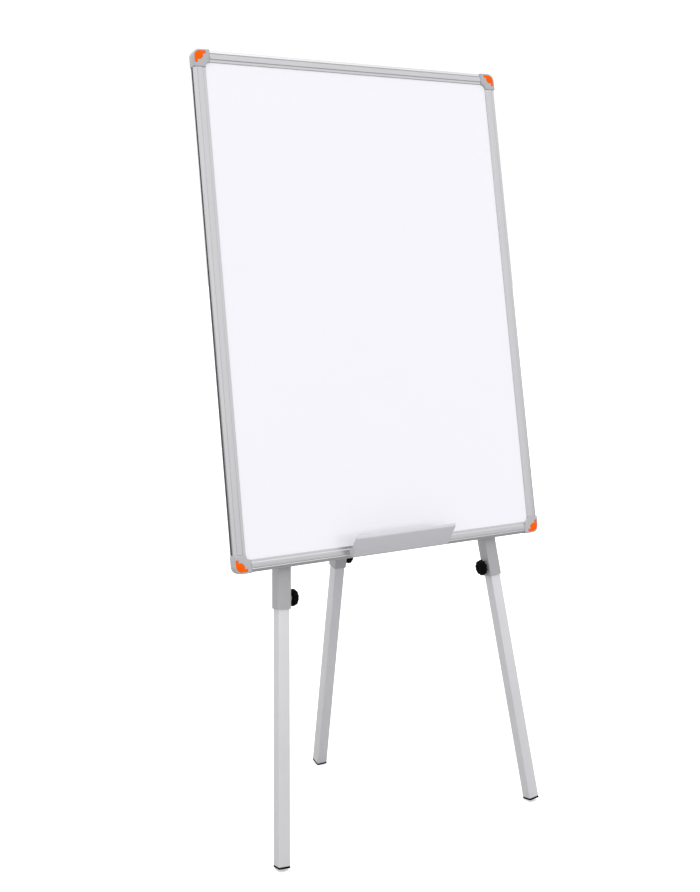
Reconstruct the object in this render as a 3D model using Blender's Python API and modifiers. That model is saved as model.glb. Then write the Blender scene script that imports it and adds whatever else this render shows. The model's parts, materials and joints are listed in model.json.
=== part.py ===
"""Flipchart easel: a 700 x 1000 mm lacquered writing board in an aluminium frame,
with a pen tray, on three telescopic legs. Two front legs run up behind the board
in box-section sleeves; the rear leg hinges on a crossbar between them.

Units: the constants are in millimetres, the model is in metres, +Z up.
The board faces -Y and its top leans back towards +Y. The origin is on the floor
at the middle of the whole object's footprint box.

Two kinds of local frame are used, each held by an empty:
  board frame: origin at the board's centre on its front plane, X right,
               Y into the board, Z up along the board
  leg frame:   Z up along the leg, X across it, Y through its depth
"""
import math

import bmesh
import bpy
from mathutils import Matrix, Vector

# ---------------------------------------------------------------- dimensions
MM = 0.001
GAP = 0.3                     # clearance kept between touching pieces

BOARD_W, BOARD_H = 700.0, 1000.0
BOARD_TILT = 10.15            # lean of the board from upright, degrees

RAIL_W, RAIL_T = 24.0, 18.0   # front width and depth of the frame extrusion
RAIL_WALL = 2.0
RAIL_STEP_U, RAIL_STEP_W = 15.0, 1.6   # step of the front face towards the panel
RAIL_LIP_DROP = 1.1           # depth of that step
SIDE_SLOT = 2.4               # depth of the slot along the extrusion's outer side
SIDE_SLOT_Y0, SIDE_SLOT_Y1 = 8.2, 15.6
CHAMBER_IN = 12.2             # inner wall of the extrusion's hollow chamber
GROOVE_U = 13.7               # bottom of the groove that grips the panel
GROOVE_Y0, GROOVE_Y1 = 2.2, 16.2
REAR_LIP_W = 20.0

SURFACE_T, BACK_T = 0.5, 0.5  # sheet thicknesses of the panel

CAP_ARM = 35.0                # length of a corner cap's arms
CAP_PROUD = 1.0               # how far a cap stands outside the rails
CAP_R_OUT, CAP_R_IN = 15.0, 9.0
TONGUE = 20.0                 # length of the cap's tongues inside the rails
INLAY_RECESS = 1.2

TRAY_W_TOP, TRAY_W_BOTTOM = 229.0, 217.0
TRAY_SHEET = 1.2
TRAY_FLOOR_Z, TRAY_FLANGE_Z = -497.0, -481.5
TRAY_FLOOR_Y = -19.9
TRAY_LIP_Y, TRAY_BEND_Z, TRAY_TOP_Z = -46.0, -461.8, -455.8
TRAY_SCREW_X, TRAY_SCREW_Z = 80.0, -491.0

SPLAY = 5.24                  # lean of each front leg across the board, degrees
LEG_X0 = 238.8                # leg axis from the middle, at the board's bottom edge
LEG_Y = 36.2                  # leg axis behind the board's front plane
SLEEVE_W, SLEEVE_D, SLEEVE_WALL, SLEEVE_R = 28.0, 30.0, 1.2, 2.5
SLEEVE_BELOW = 80.0           # sleeve end below the board's bottom edge
SLEEVE_ABOVE = 1002.0         # sleeve top above the board's bottom edge
LOWER_W, LOWER_D, LOWER_WALL, LOWER_R = 23.0, 25.4, 1.2, 1.2
LOWER_OUT = 475.0             # length of lower leg that shows below its sleeve
LOWER_IN = 500.0              # length of lower leg inside its sleeve
FOOT_FLANGE, FOOT_PLUG, FOOT_W, FOOT_D = 3.5, 15.0, 23.2, 26.2
BUSH_LEN = 36.0
PLUG_FLANGE, PLUG_LEN = 2.0, 14.0

KNOB_T = 60.0                 # clamp screw's height below the board's bottom edge
KNOB_FROM_END = SLEEVE_BELOW - KNOB_T
KNOB_R, KNOB_LOBE, KNOB_LOBES = 16.6, 2.0, 10
KNOB_X0, KNOB_X1 = 19.2, 32.2
BOSS_R, BOSS_X1 = 6.0, 24.0
STUD_R, STUD_X1 = 3.0, 29.2

STRAP_W, STRAP_SHEET, STRAP_FOOT, STRAP_U = 12.0, 2.0, 12.0, 7.9
STRAP_SCREW_X = 22.0

BAR_SHEET, BAR_H, BAR_FLANGE, BAR_OVER = 2.0, 30.0, 7.0, 21.0
REAR_TILT = 21.02             # angle between the open rear leg and the board
REAR_Y_BOTTOM = 251.6         # rear leg axis behind the front plane, at the
                              # level of the board's bottom edge
BRACKET_SHEET, BRACKET_HALF = 2.0, 34.0
EAR_GAP = 0.5                 # side clearance of the rear leg between the ears
EAR_H, EAR_OVER = 25.0, 12.0
REAR_ABOVE_PIN = 13.0         # rear sleeve above the hinge pin
PIN_R = 4.0
REAR_SLEEVE_BELOW = 39.7      # rear sleeve end below the bottom edge's level


# ------------------------------------------------------------ scene plumbing
for old in list(bpy.data.objects):
    bpy.data.objects.remove(old, do_unlink=True)

parts = bpy.data.collections.new("flipchart_easel")
cutters = bpy.data.collections.new("cutters")
guides = bpy.data.collections.new("guides")
for collection in (parts, cutters, guides):
    bpy.context.scene.collection.children.link(collection)


def empty(name, parent=None, location=(0, 0, 0), rotation=(0, 0, 0)):
    obj = bpy.data.objects.new(name, None)
    obj.empty_display_size = 0.05
    guides.objects.link(obj)
    obj.parent = parent
    obj.location = Vector(location) * MM
    obj.rotation_euler = rotation
    return obj


def finish_mesh(bm, name, parent, collection=parts, at=(0, 0, 0)):
    """Turn a bmesh drawn in millimetres into an object whose origin is at `at`."""
    bmesh.ops.remove_doubles(bm, verts=bm.verts, dist=1e-4)
    bmesh.ops.recalc_face_normals(bm, faces=bm.faces)
    at = Vector(at)
    bm.transform(Matrix.Scale(MM, 4) @ Matrix.Translation(-at))
    mesh = bpy.data.meshes.new(name)
    bm.to_mesh(mesh)
    bm.free()
    obj = bpy.data.objects.new(name, mesh)
    collection.objects.link(obj)
    obj.parent = parent
    obj.location = at * MM
    if collection is cutters:
        obj.hide_render = True
        obj.display_type = "WIRE"
    return obj


def box_bm(lo, hi):
    bm = bmesh.new()
    bmesh.ops.create_cube(bm, size=1.0)
    lo, hi = Vector(lo), Vector(hi)
    size = hi - lo
    bm.transform(Matrix.Translation((lo + hi) / 2) @ Matrix.Diagonal((*size, 1.0)))
    return bm


def box(name, parent, lo, hi, collection=parts):
    centre = (Vector(lo) + Vector(hi)) / 2
    return finish_mesh(box_bm(lo, hi), name, parent, collection, centre)


AXIS_TURN = {"X": Matrix.Rotation(math.pi / 2, 4, "Y"),
             "Y": Matrix.Rotation(-math.pi / 2, 4, "X"),
             "Z": Matrix.Identity(4)}


def cylinder_bm(start, length, radius, axis, sides=20, radius_end=None):
    """Cylinder (or cone) from `start`, running `length` along +axis."""
    bm = bmesh.new()
    bmesh.ops.create_cone(bm, cap_ends=True, segments=sides, radius1=radius,
                          radius2=radius if radius_end is None else radius_end,
                          depth=length)
    bm.transform(Matrix.Translation(start) @ AXIS_TURN[axis]
                 @ Matrix.Translation((0, 0, length / 2)))
    return bm


def cylinder(name, parent, start, length, radius, axis, sides=20, collection=parts):
    return finish_mesh(cylinder_bm(start, length, radius, axis, sides),
                       name, parent, collection, start)


def prism_bm(loops, z0, z1, turn=Matrix.Identity(4)):
    """Flat outline (first loop) with holes (other loops), drawn in XY and run
    from z0 to z1 along Z, then turned."""
    curve = bpy.data.curves.new("outline", "CURVE")
    curve.dimensions = "2D"
    curve.fill_mode = "BOTH"
    curve.extrude = (z1 - z0) / 2
    for loop in loops:
        spline = curve.splines.new("POLY")
        spline.points.add(len(loop) - 1)
        for point, (x, y) in zip(spline.points, loop):
            point.co = (x, y, 0, 1)
        spline.use_cyclic_u = True
    obj = bpy.data.objects.new("outline", curve)
    guides.objects.link(obj)
    bpy.context.view_layer.update()
    graph = bpy.context.evaluated_depsgraph_get()
    mesh = bpy.data.meshes.new_from_object(obj.evaluated_get(graph))
    bm = bmesh.new()
    bm.from_mesh(mesh)
    bpy.data.objects.remove(obj, do_unlink=True)
    bpy.data.curves.remove(curve)
    bpy.data.meshes.remove(mesh)
    bmesh.ops.remove_doubles(bm, verts=bm.verts, dist=1e-4)
    bmesh.ops.dissolve_limit(bm, angle_limit=0.001, verts=bm.verts, edges=bm.edges)
    bmesh.ops.triangulate(bm, faces=[f for f in bm.faces if len(f.verts) > 4])
    bm.transform(turn @ Matrix.Translation((0, 0, (z0 + z1) / 2)))
    return bm


def join_bm(target, *others):
    for other in others:
        mesh = bpy.data.meshes.new("join")
        other.to_mesh(mesh)
        other.free()
        target.from_mesh(mesh)
        bpy.data.meshes.remove(mesh)
    return target


def boolean(obj, other, operation):
    modifier = obj.modifiers.new(operation.lower(), "BOOLEAN")
    modifier.operation = operation
    modifier.solver = "EXACT"
    modifier.object = other


def cut(obj, cutter):
    boolean(obj, cutter, "DIFFERENCE")


def weld_on(obj, piece):
    boolean(obj, piece, "UNION")


def hole(obj, name, parent, start, length, radius, axis, sides=16):
    cut(obj, cylinder(name, parent, start, length, radius, axis, sides, cutters))


def rounded_rect(w, d, r, steps=3):
    points = []
    for cx, cy, a0 in ((w / 2 - r, d / 2 - r, 0), (-w / 2 + r, d / 2 - r, 90),
                       (-w / 2 + r, -d / 2 + r, 180), (w / 2 - r, -d / 2 + r, 270)):
        for i in range(steps + 1):
            a = math.radians(a0 + 90.0 * i / steps)
            points.append((cx + r * math.cos(a), cy + r * math.sin(a)))
    return points


def tube_bm(w, d, wall, r, z0, z1):
    return prism_bm([rounded_rect(w, d, r),
                     rounded_rect(w - 2 * wall, d - 2 * wall, max(r - wall, 0.4))],
                    z0, z1)


def material(obj, rgb, rough, metallic=0.0):
    mat = bpy.data.materials.new(obj.name + "_material")
    mat.use_nodes = True
    shader = mat.node_tree.nodes["Principled BSDF"]
    shader.inputs["Base Color"].default_value = (*rgb, 1.0)
    shader.inputs["Roughness"].default_value = rough
    shader.inputs["Metallic"].default_value = metallic
    obj.data.materials.clear()
    obj.data.materials.append(mat)
    return obj


def smooth(obj, degrees=35.0):
    obj.data.shade_smooth()
    obj.data.set_sharp_from_angle(angle=math.radians(degrees))
    return obj


WHITE = ((0.93, 0.93, 0.95), 0.18, 0.0)
BOARD_FILL = ((0.62, 0.50, 0.36), 0.85, 0.0)
ZINC_SHEET = ((0.62, 0.63, 0.65), 0.45, 0.9)
ANODISED = ((0.70, 0.70, 0.73), 0.36, 0.85)
CAP_GREY = ((0.60, 0.60, 0.62), 0.40, 0.0)
ORANGE = ((0.95, 0.16, 0.01), 0.30, 0.0)
TRAY_SILVER = ((0.52, 0.52, 0.54), 0.42, 0.4)
SLEEVE_GREY = ((0.40, 0.40, 0.42), 0.42, 0.3)
LEG_SILVER = ((0.66, 0.66, 0.68), 0.36, 0.6)
BLACK = ((0.02, 0.02, 0.02), 0.50, 0.0)
FASTENER = ((0.68, 0.68, 0.70), 0.30, 1.0)

# --------------------------------------------------------------- the frames
tilt = math.radians(BOARD_TILT)
splay = math.radians(SPLAY)
rear = math.radians(REAR_TILT)

# The rear leg's top corner rests on the bracket's base when the leg is open:
# that sets how far behind the base the hinge pin stands.
sleeve_back = LEG_Y + SLEEVE_D / 2
bar_web_y0 = sleeve_back + GAP
bar_web_y1 = bar_web_y0 + BAR_SHEET
base_y0 = bar_web_y1 + GAP
base_y1 = base_y0 + BRACKET_SHEET
stop_reach = (SLEEVE_D / 2) * math.cos(rear) + (REAR_ABOVE_PIN + PLUG_FLANGE) * math.sin(rear)
pin_y = base_y1 + GAP + stop_reach
pin_z = -BOARD_H / 2 + (REAR_Y_BOTTOM - pin_y) / math.tan(rear)
rear_sleeve_z0 = -((pin_z + BOARD_H / 2) / math.cos(rear) + REAR_SLEEVE_BELOW)

board_turn = Matrix.Rotation(-tilt, 4, "X")
left_turn = Matrix.Rotation(splay, 4, "Y")
rear_turn = Matrix.Rotation(rear, 4, "X")
front_foot_z = -SLEEVE_BELOW - LOWER_OUT


def foot_corners(origin, turn, foot_z):
    """Corners of a foot's sole, in the tilted board's frame turned upright."""
    half_w, half_d = FOOT_W / 2, FOOT_D / 2
    return [board_turn @ (Vector(origin) + turn @ Vector((x, y, foot_z)))
            for x in (-half_w, half_w) for y in (-half_d, half_d)]


left_corners = foot_corners((-LEG_X0, LEG_Y, -BOARD_H / 2), left_turn, front_foot_z)
floor_z = min(corner.z for corner in left_corners)
# The rear leg is drawn out until its sole meets the same floor.
rear_down = (board_turn @ rear_turn @ Vector((0, 0, -1))).z
rear_corners = foot_corners((0, pin_y, pin_z), rear_turn, rear_sleeve_z0 - LOWER_OUT)
rear_foot_z = rear_sleeve_z0 - LOWER_OUT - (floor_z - min(c.z for c in rear_corners)) / rear_down
rear_corners = foot_corners((0, pin_y, pin_z), rear_turn, rear_foot_z)
front_y = min(corner.y for corner in left_corners)
back_y = max(corner.y for corner in rear_corners)

root = empty("easel_on_floor")
board = empty("board_frame", root,
              (0, -(front_y + back_y) / 2, -floor_z), (-tilt, 0, 0))
left_leg = empty("front_leg_left_frame", board, (-LEG_X0, LEG_Y, -BOARD_H / 2), (0, splay, 0))
right_leg = empty("front_leg_right_frame", board, (LEG_X0, LEG_Y, -BOARD_H / 2), (0, -splay, 0))
rear_leg = empty("rear_hinge_axis", board, (0, pin_y, pin_z), (rear, 0, 0))

# ---------------------------------------------------------------- the panel
panel_x, panel_z = BOARD_W / 2 - GROOVE_U - GAP, BOARD_H / 2 - GROOVE_U - GAP
surface_y0 = GROOVE_Y0 + GAP
surface_y1 = surface_y0 + SURFACE_T
back_y1 = GROOVE_Y1 - GAP
back_y0 = back_y1 - BACK_T
material(box("writing_surface", board, (-panel_x, surface_y0, -panel_z),
             (panel_x, surface_y1, panel_z)), *WHITE)
material(box("board_core", board, (-panel_x, surface_y1 + GAP, -panel_z),
             (panel_x, back_y0 - GAP, panel_z)), *BOARD_FILL)
material(box("back_sheet", board, (-panel_x, back_y0, -panel_z),
             (panel_x, back_y1, panel_z)), *ZINC_SHEET)

# ------------------------------------------------------- the frame extrusion
# u runs inwards from the outer edge, y runs back from the front plane.
# The outer front edge is a quarter of an ellipse; a slot runs along the side.
CROWN_U, CROWN_Y = 6.0, 3.6
crowned_edge = [(CROWN_U * (1 - math.cos(a)), CROWN_Y * (1 - math.sin(a)))
                for a in (math.radians(90 * i / 5) for i in range(6))]
rail_outline = ([(0.0, RAIL_T), (0.0, SIDE_SLOT_Y1), (SIDE_SLOT, SIDE_SLOT_Y1),
                 (SIDE_SLOT, SIDE_SLOT_Y0), (0.0, SIDE_SLOT_Y0)] + crowned_edge
                + [(RAIL_STEP_U, 0.0), (RAIL_STEP_U + RAIL_STEP_W, RAIL_LIP_DROP),
                   (RAIL_W - 0.6, RAIL_LIP_DROP), (RAIL_W, RAIL_LIP_DROP + 0.5),
                   (RAIL_W, GROOVE_Y0), (GROOVE_U, GROOVE_Y0), (GROOVE_U, GROOVE_Y1),
                   (REAR_LIP_W, GROOVE_Y1), (REAR_LIP_W, RAIL_T)])
CHAMBER_OUT = SIDE_SLOT + 1.2
chamber = [(CHAMBER_OUT, 3.4), (CHAMBER_OUT + 1.6, 2.6), (CHAMBER_IN, 2.8),
           (CHAMBER_IN, RAIL_T - RAIL_WALL), (CHAMBER_OUT, RAIL_T - RAIL_WALL)]
rail_half_x = BOARD_W / 2 - CAP_ARM + CAP_PROUD - GAP
rail_half_z = BOARD_H / 2 - CAP_ARM + CAP_PROUD - GAP


def rail(name, half_length, place):
    """Profile drawn with u along X and depth along Y, run along Z, then placed
    by `place`, which takes profile space into the board frame."""
    bm = prism_bm([rail_outline, chamber], -half_length, half_length, place)
    obj = finish_mesh(bm, name, board)
    material(smooth(obj), *ANODISED)
    return obj


def profile_place(inward, along, corner):
    """Matrix that sends X to `inward`, Y to +Y, Z to `along`."""
    m = Matrix.Identity(4)
    for row in range(3):
        m[row][0] = inward[row]
        m[row][1] = (0, 1, 0)[row]
        m[row][2] = along[row]
        m[row][3] = corner[row]
    return m


frame_top = rail("frame_top", rail_half_x,
                 profile_place((0, 0, -1), (1, 0, 0), (0, 0, BOARD_H / 2)))
frame_bottom = rail("frame_bottom", rail_half_x,
                    profile_place((0, 0, 1), (-1, 0, 0), (0, 0, -BOARD_H / 2)))
frame_left = rail("frame_left", rail_half_z,
                  profile_place((1, 0, 0), (0, 0, 1), (-BOARD_W / 2, 0, 0)))
frame_right = rail("frame_right", rail_half_z,
                   profile_place((-1, 0, 0), (0, 0, -1), (BOARD_W / 2, 0, 0)))

# ------------------------------------------------- corner caps and inlays
# Drawn for the bottom-left corner: a and b run along the bottom and up the
# side from the cap's outer corner, and mirrored to the other corners.


def arc(cx, cy, r, a0, a1, steps):
    return [(cx + r * math.cos(math.radians(a0 + (a1 - a0) * i / steps)),
             cy + r * math.sin(math.radians(a0 + (a1 - a0) * i / steps)))
            for i in range(steps + 1)]


cap_width = RAIL_W + CAP_PROUD
cap_outline = (arc(CAP_R_OUT, CAP_R_OUT, CAP_R_OUT, 180, 270, 6)
               + [(CAP_ARM, 0.0), (CAP_ARM, cap_width)]
               + arc(cap_width + CAP_R_IN, cap_width + CAP_R_IN, CAP_R_IN, 270, 180, 4)[1:-1]
               + [(cap_width, CAP_ARM), (0.0, CAP_ARM)])

INLAY_EDGE, INLAY_LEG, INLAY_ARM = 3.4, 23.0, 5.2
step = (INLAY_LEG - INLAY_ARM) / 3


def inlay_outline(grow):
    e = INLAY_EDGE - grow
    far = INLAY_EDGE + INLAY_LEG + grow
    arm = INLAY_EDGE + INLAY_ARM + grow
    r = CAP_R_OUT - INLAY_EDGE + grow
    points = arc(e + r, e + r, r, 180, 270, 5)
    points += [(far, e), (far, arm), (far - step, arm)]
    points += [(far - step, arm + step), (arm + step, far - step)]
    points += [(arm, far - step), (arm, far), (e, far)]
    return points


def corner(name_cap, name_inlay, sx, sz):
    origin = Vector((sx * (BOARD_W / 2 + CAP_PROUD), 0, sz * (BOARD_H / 2 + CAP_PROUD)))
    # X of the drawing runs inwards along the rail, Y inwards up the side, and
    # Z of the drawing runs back through the board's depth.
    place = Matrix(((-sx, 0, 0, origin.x), (0, 0, 1, 0), (0, -sz, 0, origin.z), (0, 0, 0, 1)))
    front, back = -CAP_PROUD, RAIL_T + CAP_PROUD
    cap = finish_mesh(prism_bm([cap_outline], front, back, place), name_cap, board,
                      at=origin)

    def local(lo, hi):
        a, b = place @ Vector(lo), place @ Vector(hi)
        return ([min(p) for p in zip(a, b)], [max(p) for p in zip(a, b)])

    groove = GROOVE_U + CAP_PROUD
    cut(cap, box(name_cap + "_panel_pocket", board,
                 *local((groove, groove, GROOVE_Y0), (60, 60, GROOVE_Y1)), cutters))
    recess = finish_mesh(prism_bm([inlay_outline(GAP)], front - 1, front + INLAY_RECESS, place),
                         name_cap + "_inlay_recess", board, cutters)
    cut(cap, recess)
    for label, swap in (("a", False), ("b", True)):
        lo = [CAP_ARM - 6, CAP_PROUD + CHAMBER_OUT + 0.6, 4.2]
        hi = [CAP_ARM + TONGUE, CAP_PROUD + CHAMBER_IN - 0.6, RAIL_T - RAIL_WALL - 0.6]
        if swap:
            lo[0], lo[1] = lo[1], lo[0]
            hi[0], hi[1] = hi[1], hi[0]
        weld_on(cap, box(name_cap + "_tongue_" + label, board, *local(lo, hi), cutters))
    material(smooth(cap), *CAP_GREY)
    inlay = finish_mesh(prism_bm([inlay_outline(0.0)], front - 0.15,
                                 front + INLAY_RECESS - GAP, place),
                        name_inlay, board, at=origin)
    material(smooth(inlay), *ORANGE)


corner("corner_cap_bottom_left", "corner_inlay_bottom_left", -1, -1)
corner("corner_cap_bottom_right", "corner_inlay_bottom_right", 1, -1)
corner("corner_cap_top_left", "corner_inlay_top_left", -1, 1)
corner("corner_cap_top_right", "corner_inlay_top_right", 1, 1)

# ------------------------------------------------------------- the pen tray
# One folded sheet: a flange on the bottom rail, a narrow floor, a front that
# leans outwards to a short upright lip, and a gusset at each end.
half = TRAY_SHEET / 2
tray_line = [(-GAP - half, TRAY_FLANGE_Z, TRAY_W_BOTTOM / 2 - half),
             (-GAP - half, TRAY_FLOOR_Z + half, TRAY_W_BOTTOM / 2 - half),
             (TRAY_FLOOR_Y + half, TRAY_FLOOR_Z + half, TRAY_W_BOTTOM / 2 - half),
             (TRAY_LIP_Y + half, TRAY_BEND_Z, TRAY_W_TOP / 2 - half),
             (TRAY_LIP_Y + half, TRAY_TOP_Z, TRAY_W_TOP / 2 - half)]
tray_bm = bmesh.new()
rows = [[tray_bm.verts.new((side * hw, y, z)) for y, z, hw in tray_line] for side in (-1, 1)]
for i in range(len(tray_line) - 1):
    tray_bm.faces.new((rows[0][i], rows[1][i], rows[1][i + 1], rows[0][i + 1]))
for row in rows:
    tray_bm.faces.new((row[1], row[2], row[3], row[4]))
pen_tray = finish_mesh(tray_bm, "pen_tray", board)
solid = pen_tray.modifiers.new("sheet", "SOLIDIFY")
solid.thickness = TRAY_SHEET * MM
solid.offset = 0.0
solid.use_even_offset = True
solid.use_quality_normals = True
material(pen_tray, *TRAY_SILVER)
for side, label in ((-1, "left"), (1, "right")):
    x = side * TRAY_SCREW_X
    hole(pen_tray, "tray_hole_" + label, board, (x, -4, TRAY_SCREW_Z), 8, 2.4, "Y")
    hole(frame_bottom, "tray_rail_hole_" + label, board, (x, -1, TRAY_SCREW_Z), 7, 2.4, "Y")
    head_y = -GAP - TRAY_SHEET - GAP
    screw = join_bm(prism_bm([arc(0, 0, 4.0, 0, 337.5, 15)], head_y - 2.2, head_y,
                             Matrix.Translation((x, 0, TRAY_SCREW_Z)) @ AXIS_TURN["Y"]))
    screw_obj = finish_mesh(screw, "tray_screw_" + label, board,
                            at=(x, head_y, TRAY_SCREW_Z))
    weld_on(screw_obj, cylinder("tray_shank_" + label, board, (x, head_y - 1, TRAY_SCREW_Z),
                                10, 2.0, "Y", 12, cutters))
    material(smooth(screw_obj), *FASTENER)

# ------------------------------------------------------------- leg helpers


def star_outline(r, depth, lobes, per_lobe=4):
    count = lobes * per_lobe
    return [((r - depth * (0.5 - 0.5 * math.cos(lobes * a))) * math.cos(a),
             (r - depth * (0.5 - 0.5 * math.cos(lobes * a))) * math.sin(a))
            for a in (2 * math.pi * i / count for i in range(count))]


def clamp(label, frame_empty, side, z, sleeve, bush):
    """Clamp screw through one side of a sleeve. `side` is +1 or -1 along the
    leg frame's X, `z` its height in that frame."""
    axis_empty = empty("clamp_axis_" + label, frame_empty, (0, 0, z),
                       (0, 0, 0 if side > 0 else math.pi))
    weld_on(sleeve, cylinder("boss_" + label, axis_empty, (SLEEVE_W / 2 - 0.6, 0, 0),
                             BOSS_X1 - SLEEVE_W / 2 + 0.6, BOSS_R, "X", 20, cutters))
    hole(sleeve, "boss_bore_" + label, axis_empty, (8, 0, 0), 20, STUD_R + GAP, "X", 20)
    hole(bush, "bush_stud_hole_" + label, axis_empty, (8, 0, 0), 12, STUD_R + GAP, "X", 20)
    stud_x0 = LOWER_W / 2 + GAP
    stud = cylinder("clamp_stud_" + label, axis_empty, (stud_x0, 0, 0),
                    STUD_X1 - stud_x0, STUD_R, "X", 20)
    material(smooth(stud), *FASTENER)
    knob = finish_mesh(prism_bm([star_outline(KNOB_R, KNOB_LOBE, KNOB_LOBES)],
                                KNOB_X0, KNOB_X1, AXIS_TURN["X"]),
                       "clamp_knob_" + label, axis_empty)
    cut(knob, cylinder("knob_recess_" + label, axis_empty, (KNOB_X0 - 1, 0, 0),
                       BOSS_X1 + 0.5 - KNOB_X0 + 1, BOSS_R + 0.6, "X", 20, cutters))
    cut(knob, cylinder("knob_bore_" + label, axis_empty, (KNOB_X0, 0, 0),
                       STUD_X1 + GAP - KNOB_X0, STUD_R + GAP, "X", 20, cutters))
    material(smooth(knob), *BLACK)


def sleeve_and_bush(sleeve_name, bush_name, parent, z0, z1):
    sleeve = finish_mesh(tube_bm(SLEEVE_W, SLEEVE_D, SLEEVE_WALL, SLEEVE_R, z0, z1),
                         sleeve_name, parent)
    material(smooth(sleeve), *SLEEVE_GREY)
    bush_w, bush_d = SLEEVE_W - 2 * SLEEVE_WALL - 2 * GAP, SLEEVE_D - 2 * SLEEVE_WALL - 2 * GAP
    hole_w, hole_d = LOWER_W + 2 * GAP, LOWER_D + 2 * GAP
    bush = finish_mesh(prism_bm([rounded_rect(bush_w, bush_d, 1.0, 2),
                                 rounded_rect(hole_w, hole_d, LOWER_R, 2)],
                                z0 + 0.5, z0 + 0.5 + BUSH_LEN), bush_name, parent)
    material(smooth(bush), *BLACK)
    return sleeve, bush


def top_plug(name, parent, z):
    plug = finish_mesh(prism_bm([rounded_rect(SLEEVE_W, SLEEVE_D, SLEEVE_R)],
                                z + GAP, z + GAP + PLUG_FLANGE - GAP), name, parent)
    inner_w = SLEEVE_W - 2 * SLEEVE_WALL - 2 * GAP
    inner_d = SLEEVE_D - 2 * SLEEVE_WALL - 2 * GAP
    stem = finish_mesh(prism_bm([rounded_rect(inner_w, inner_d, 1.0, 2)],
                                z - PLUG_LEN, z + GAP + 0.5), name + "_stem", parent, cutters)
    weld_on(plug, stem)
    return plug


def lower_leg(label, parent, foot_z, length):
    tube_z0 = foot_z + FOOT_FLANGE + GAP
    leg = finish_mesh(tube_bm(LOWER_W, LOWER_D, LOWER_WALL, LOWER_R, tube_z0, foot_z + length),
                      "lower_leg_" + label, parent)
    material(smooth(leg), *LEG_SILVER)
    foot = finish_mesh(prism_bm([rounded_rect(FOOT_W, FOOT_D, 1.4, 2)],
                                foot_z, foot_z + FOOT_FLANGE), "foot_cap_" + label, parent)
    stem = finish_mesh(prism_bm([rounded_rect(LOWER_W - 2 * LOWER_WALL - 2 * GAP,
                                              LOWER_D - 2 * LOWER_WALL - 2 * GAP, 0.8, 1)],
                                foot_z + FOOT_FLANGE - 1, foot_z + FOOT_FLANGE + FOOT_PLUG),
                       "foot_stem_" + label, parent, cutters)
    weld_on(foot, stem)
    material(smooth(foot), *BLACK)


# ------------------------------------------------------------ the front legs
leg_length = LOWER_OUT + LOWER_IN
strap_heights = {"bottom": STRAP_U / math.cos(splay),
                 "top": (BOARD_H - STRAP_U) / math.cos(splay)}
bar_z = pin_z
bar_on_leg = (bar_z + BOARD_H / 2) / math.cos(splay)

for label, frame_empty, side in (("left", left_leg, 1), ("right", right_leg, -1)):
    sleeve, bush = sleeve_and_bush("front_sleeve_" + label, "sleeve_bush_" + label,
                                   frame_empty, -SLEEVE_BELOW, SLEEVE_ABOVE)
    material(smooth(top_plug("sleeve_plug_" + label, frame_empty, SLEEVE_ABOVE)), *BLACK)
    clamp(label, frame_empty, side, -KNOB_T, sleeve, bush)
    hole(sleeve, "crossbar_hole_" + label, frame_empty,
         (0, SLEEVE_D / 2 - 4, bar_on_leg), 6, 3.3, "Y")
    lower_leg(label, frame_empty, front_foot_z, leg_length)

    # Straps that hold the sleeve to the top and bottom rails: a hat section
    # round the sleeve, with a foot and a screw on each side.
    foot_y0 = RAIL_T + GAP - LEG_Y
    foot_y1 = foot_y0 + STRAP_SHEET
    inner = SLEEVE_W / 2 + GAP
    back = SLEEVE_D / 2 + GAP
    outer = inner + STRAP_SHEET
    strap_line = [(-outer - STRAP_FOOT, foot_y0), (-inner, foot_y0), (-inner, back),
                  (inner, back), (inner, foot_y0), (outer + STRAP_FOOT, foot_y0),
                  (outer + STRAP_FOOT, foot_y1), (outer, foot_y1),
                  (outer, back + STRAP_SHEET), (-outer, back + STRAP_SHEET),
                  (-outer, foot_y1), (-outer - STRAP_FOOT, foot_y1)]
    for where, z in strap_heights.items():
        rail_obj = frame_top if where == "top" else frame_bottom
        strap = finish_mesh(prism_bm([strap_line], z - STRAP_W / 2, z + STRAP_W / 2),
                            "strap_%s_%s" % (where, label), frame_empty, at=(0, 0, z))
        material(strap, *FASTENER)
        for which, x in (("inner", side * STRAP_SCREW_X), ("outer", -side * STRAP_SCREW_X)):
            name = "strap_screw_%s_%s_%s" % (where, label, which)
            hole(strap, name + "_hole", frame_empty, (x, foot_y0 - 2, z), 8, 2.3, "Y", 12)
            hole(rail_obj, name + "_rail_hole", frame_empty,
                 (x, foot_y0 - 4, z), 6, 2.25, "Y", 14)
            head_y = foot_y1 + GAP
            screw = finish_mesh(cylinder_bm((x, head_y, z), 2.2, 3.8, "Y", 14, 3.0),
                                name, frame_empty, at=(x, head_y, z))
            weld_on(screw, cylinder(name + "_shank", frame_empty, (x, head_y - 11, z),
                                    12, 2.0, "Y", 10, cutters))
            material(smooth(screw), *FASTENER)

# -------------------------------------------------------------- the crossbar
# A shallow channel bolted on the back of both sleeves.
bar_half = LEG_X0 - (bar_z + BOARD_H / 2) * math.tan(splay) + BAR_OVER
web0, web1 = bar_web_y0, bar_web_y1
flange_y = web0 + BAR_FLANGE
h = BAR_H / 2
channel = [(web0, -h), (flange_y, -h), (flange_y, -h + BAR_SHEET), (web1, -h + BAR_SHEET),
           (web1, h - BAR_SHEET), (flange_y, h - BAR_SHEET), (flange_y, h), (web0, h)]
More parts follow.
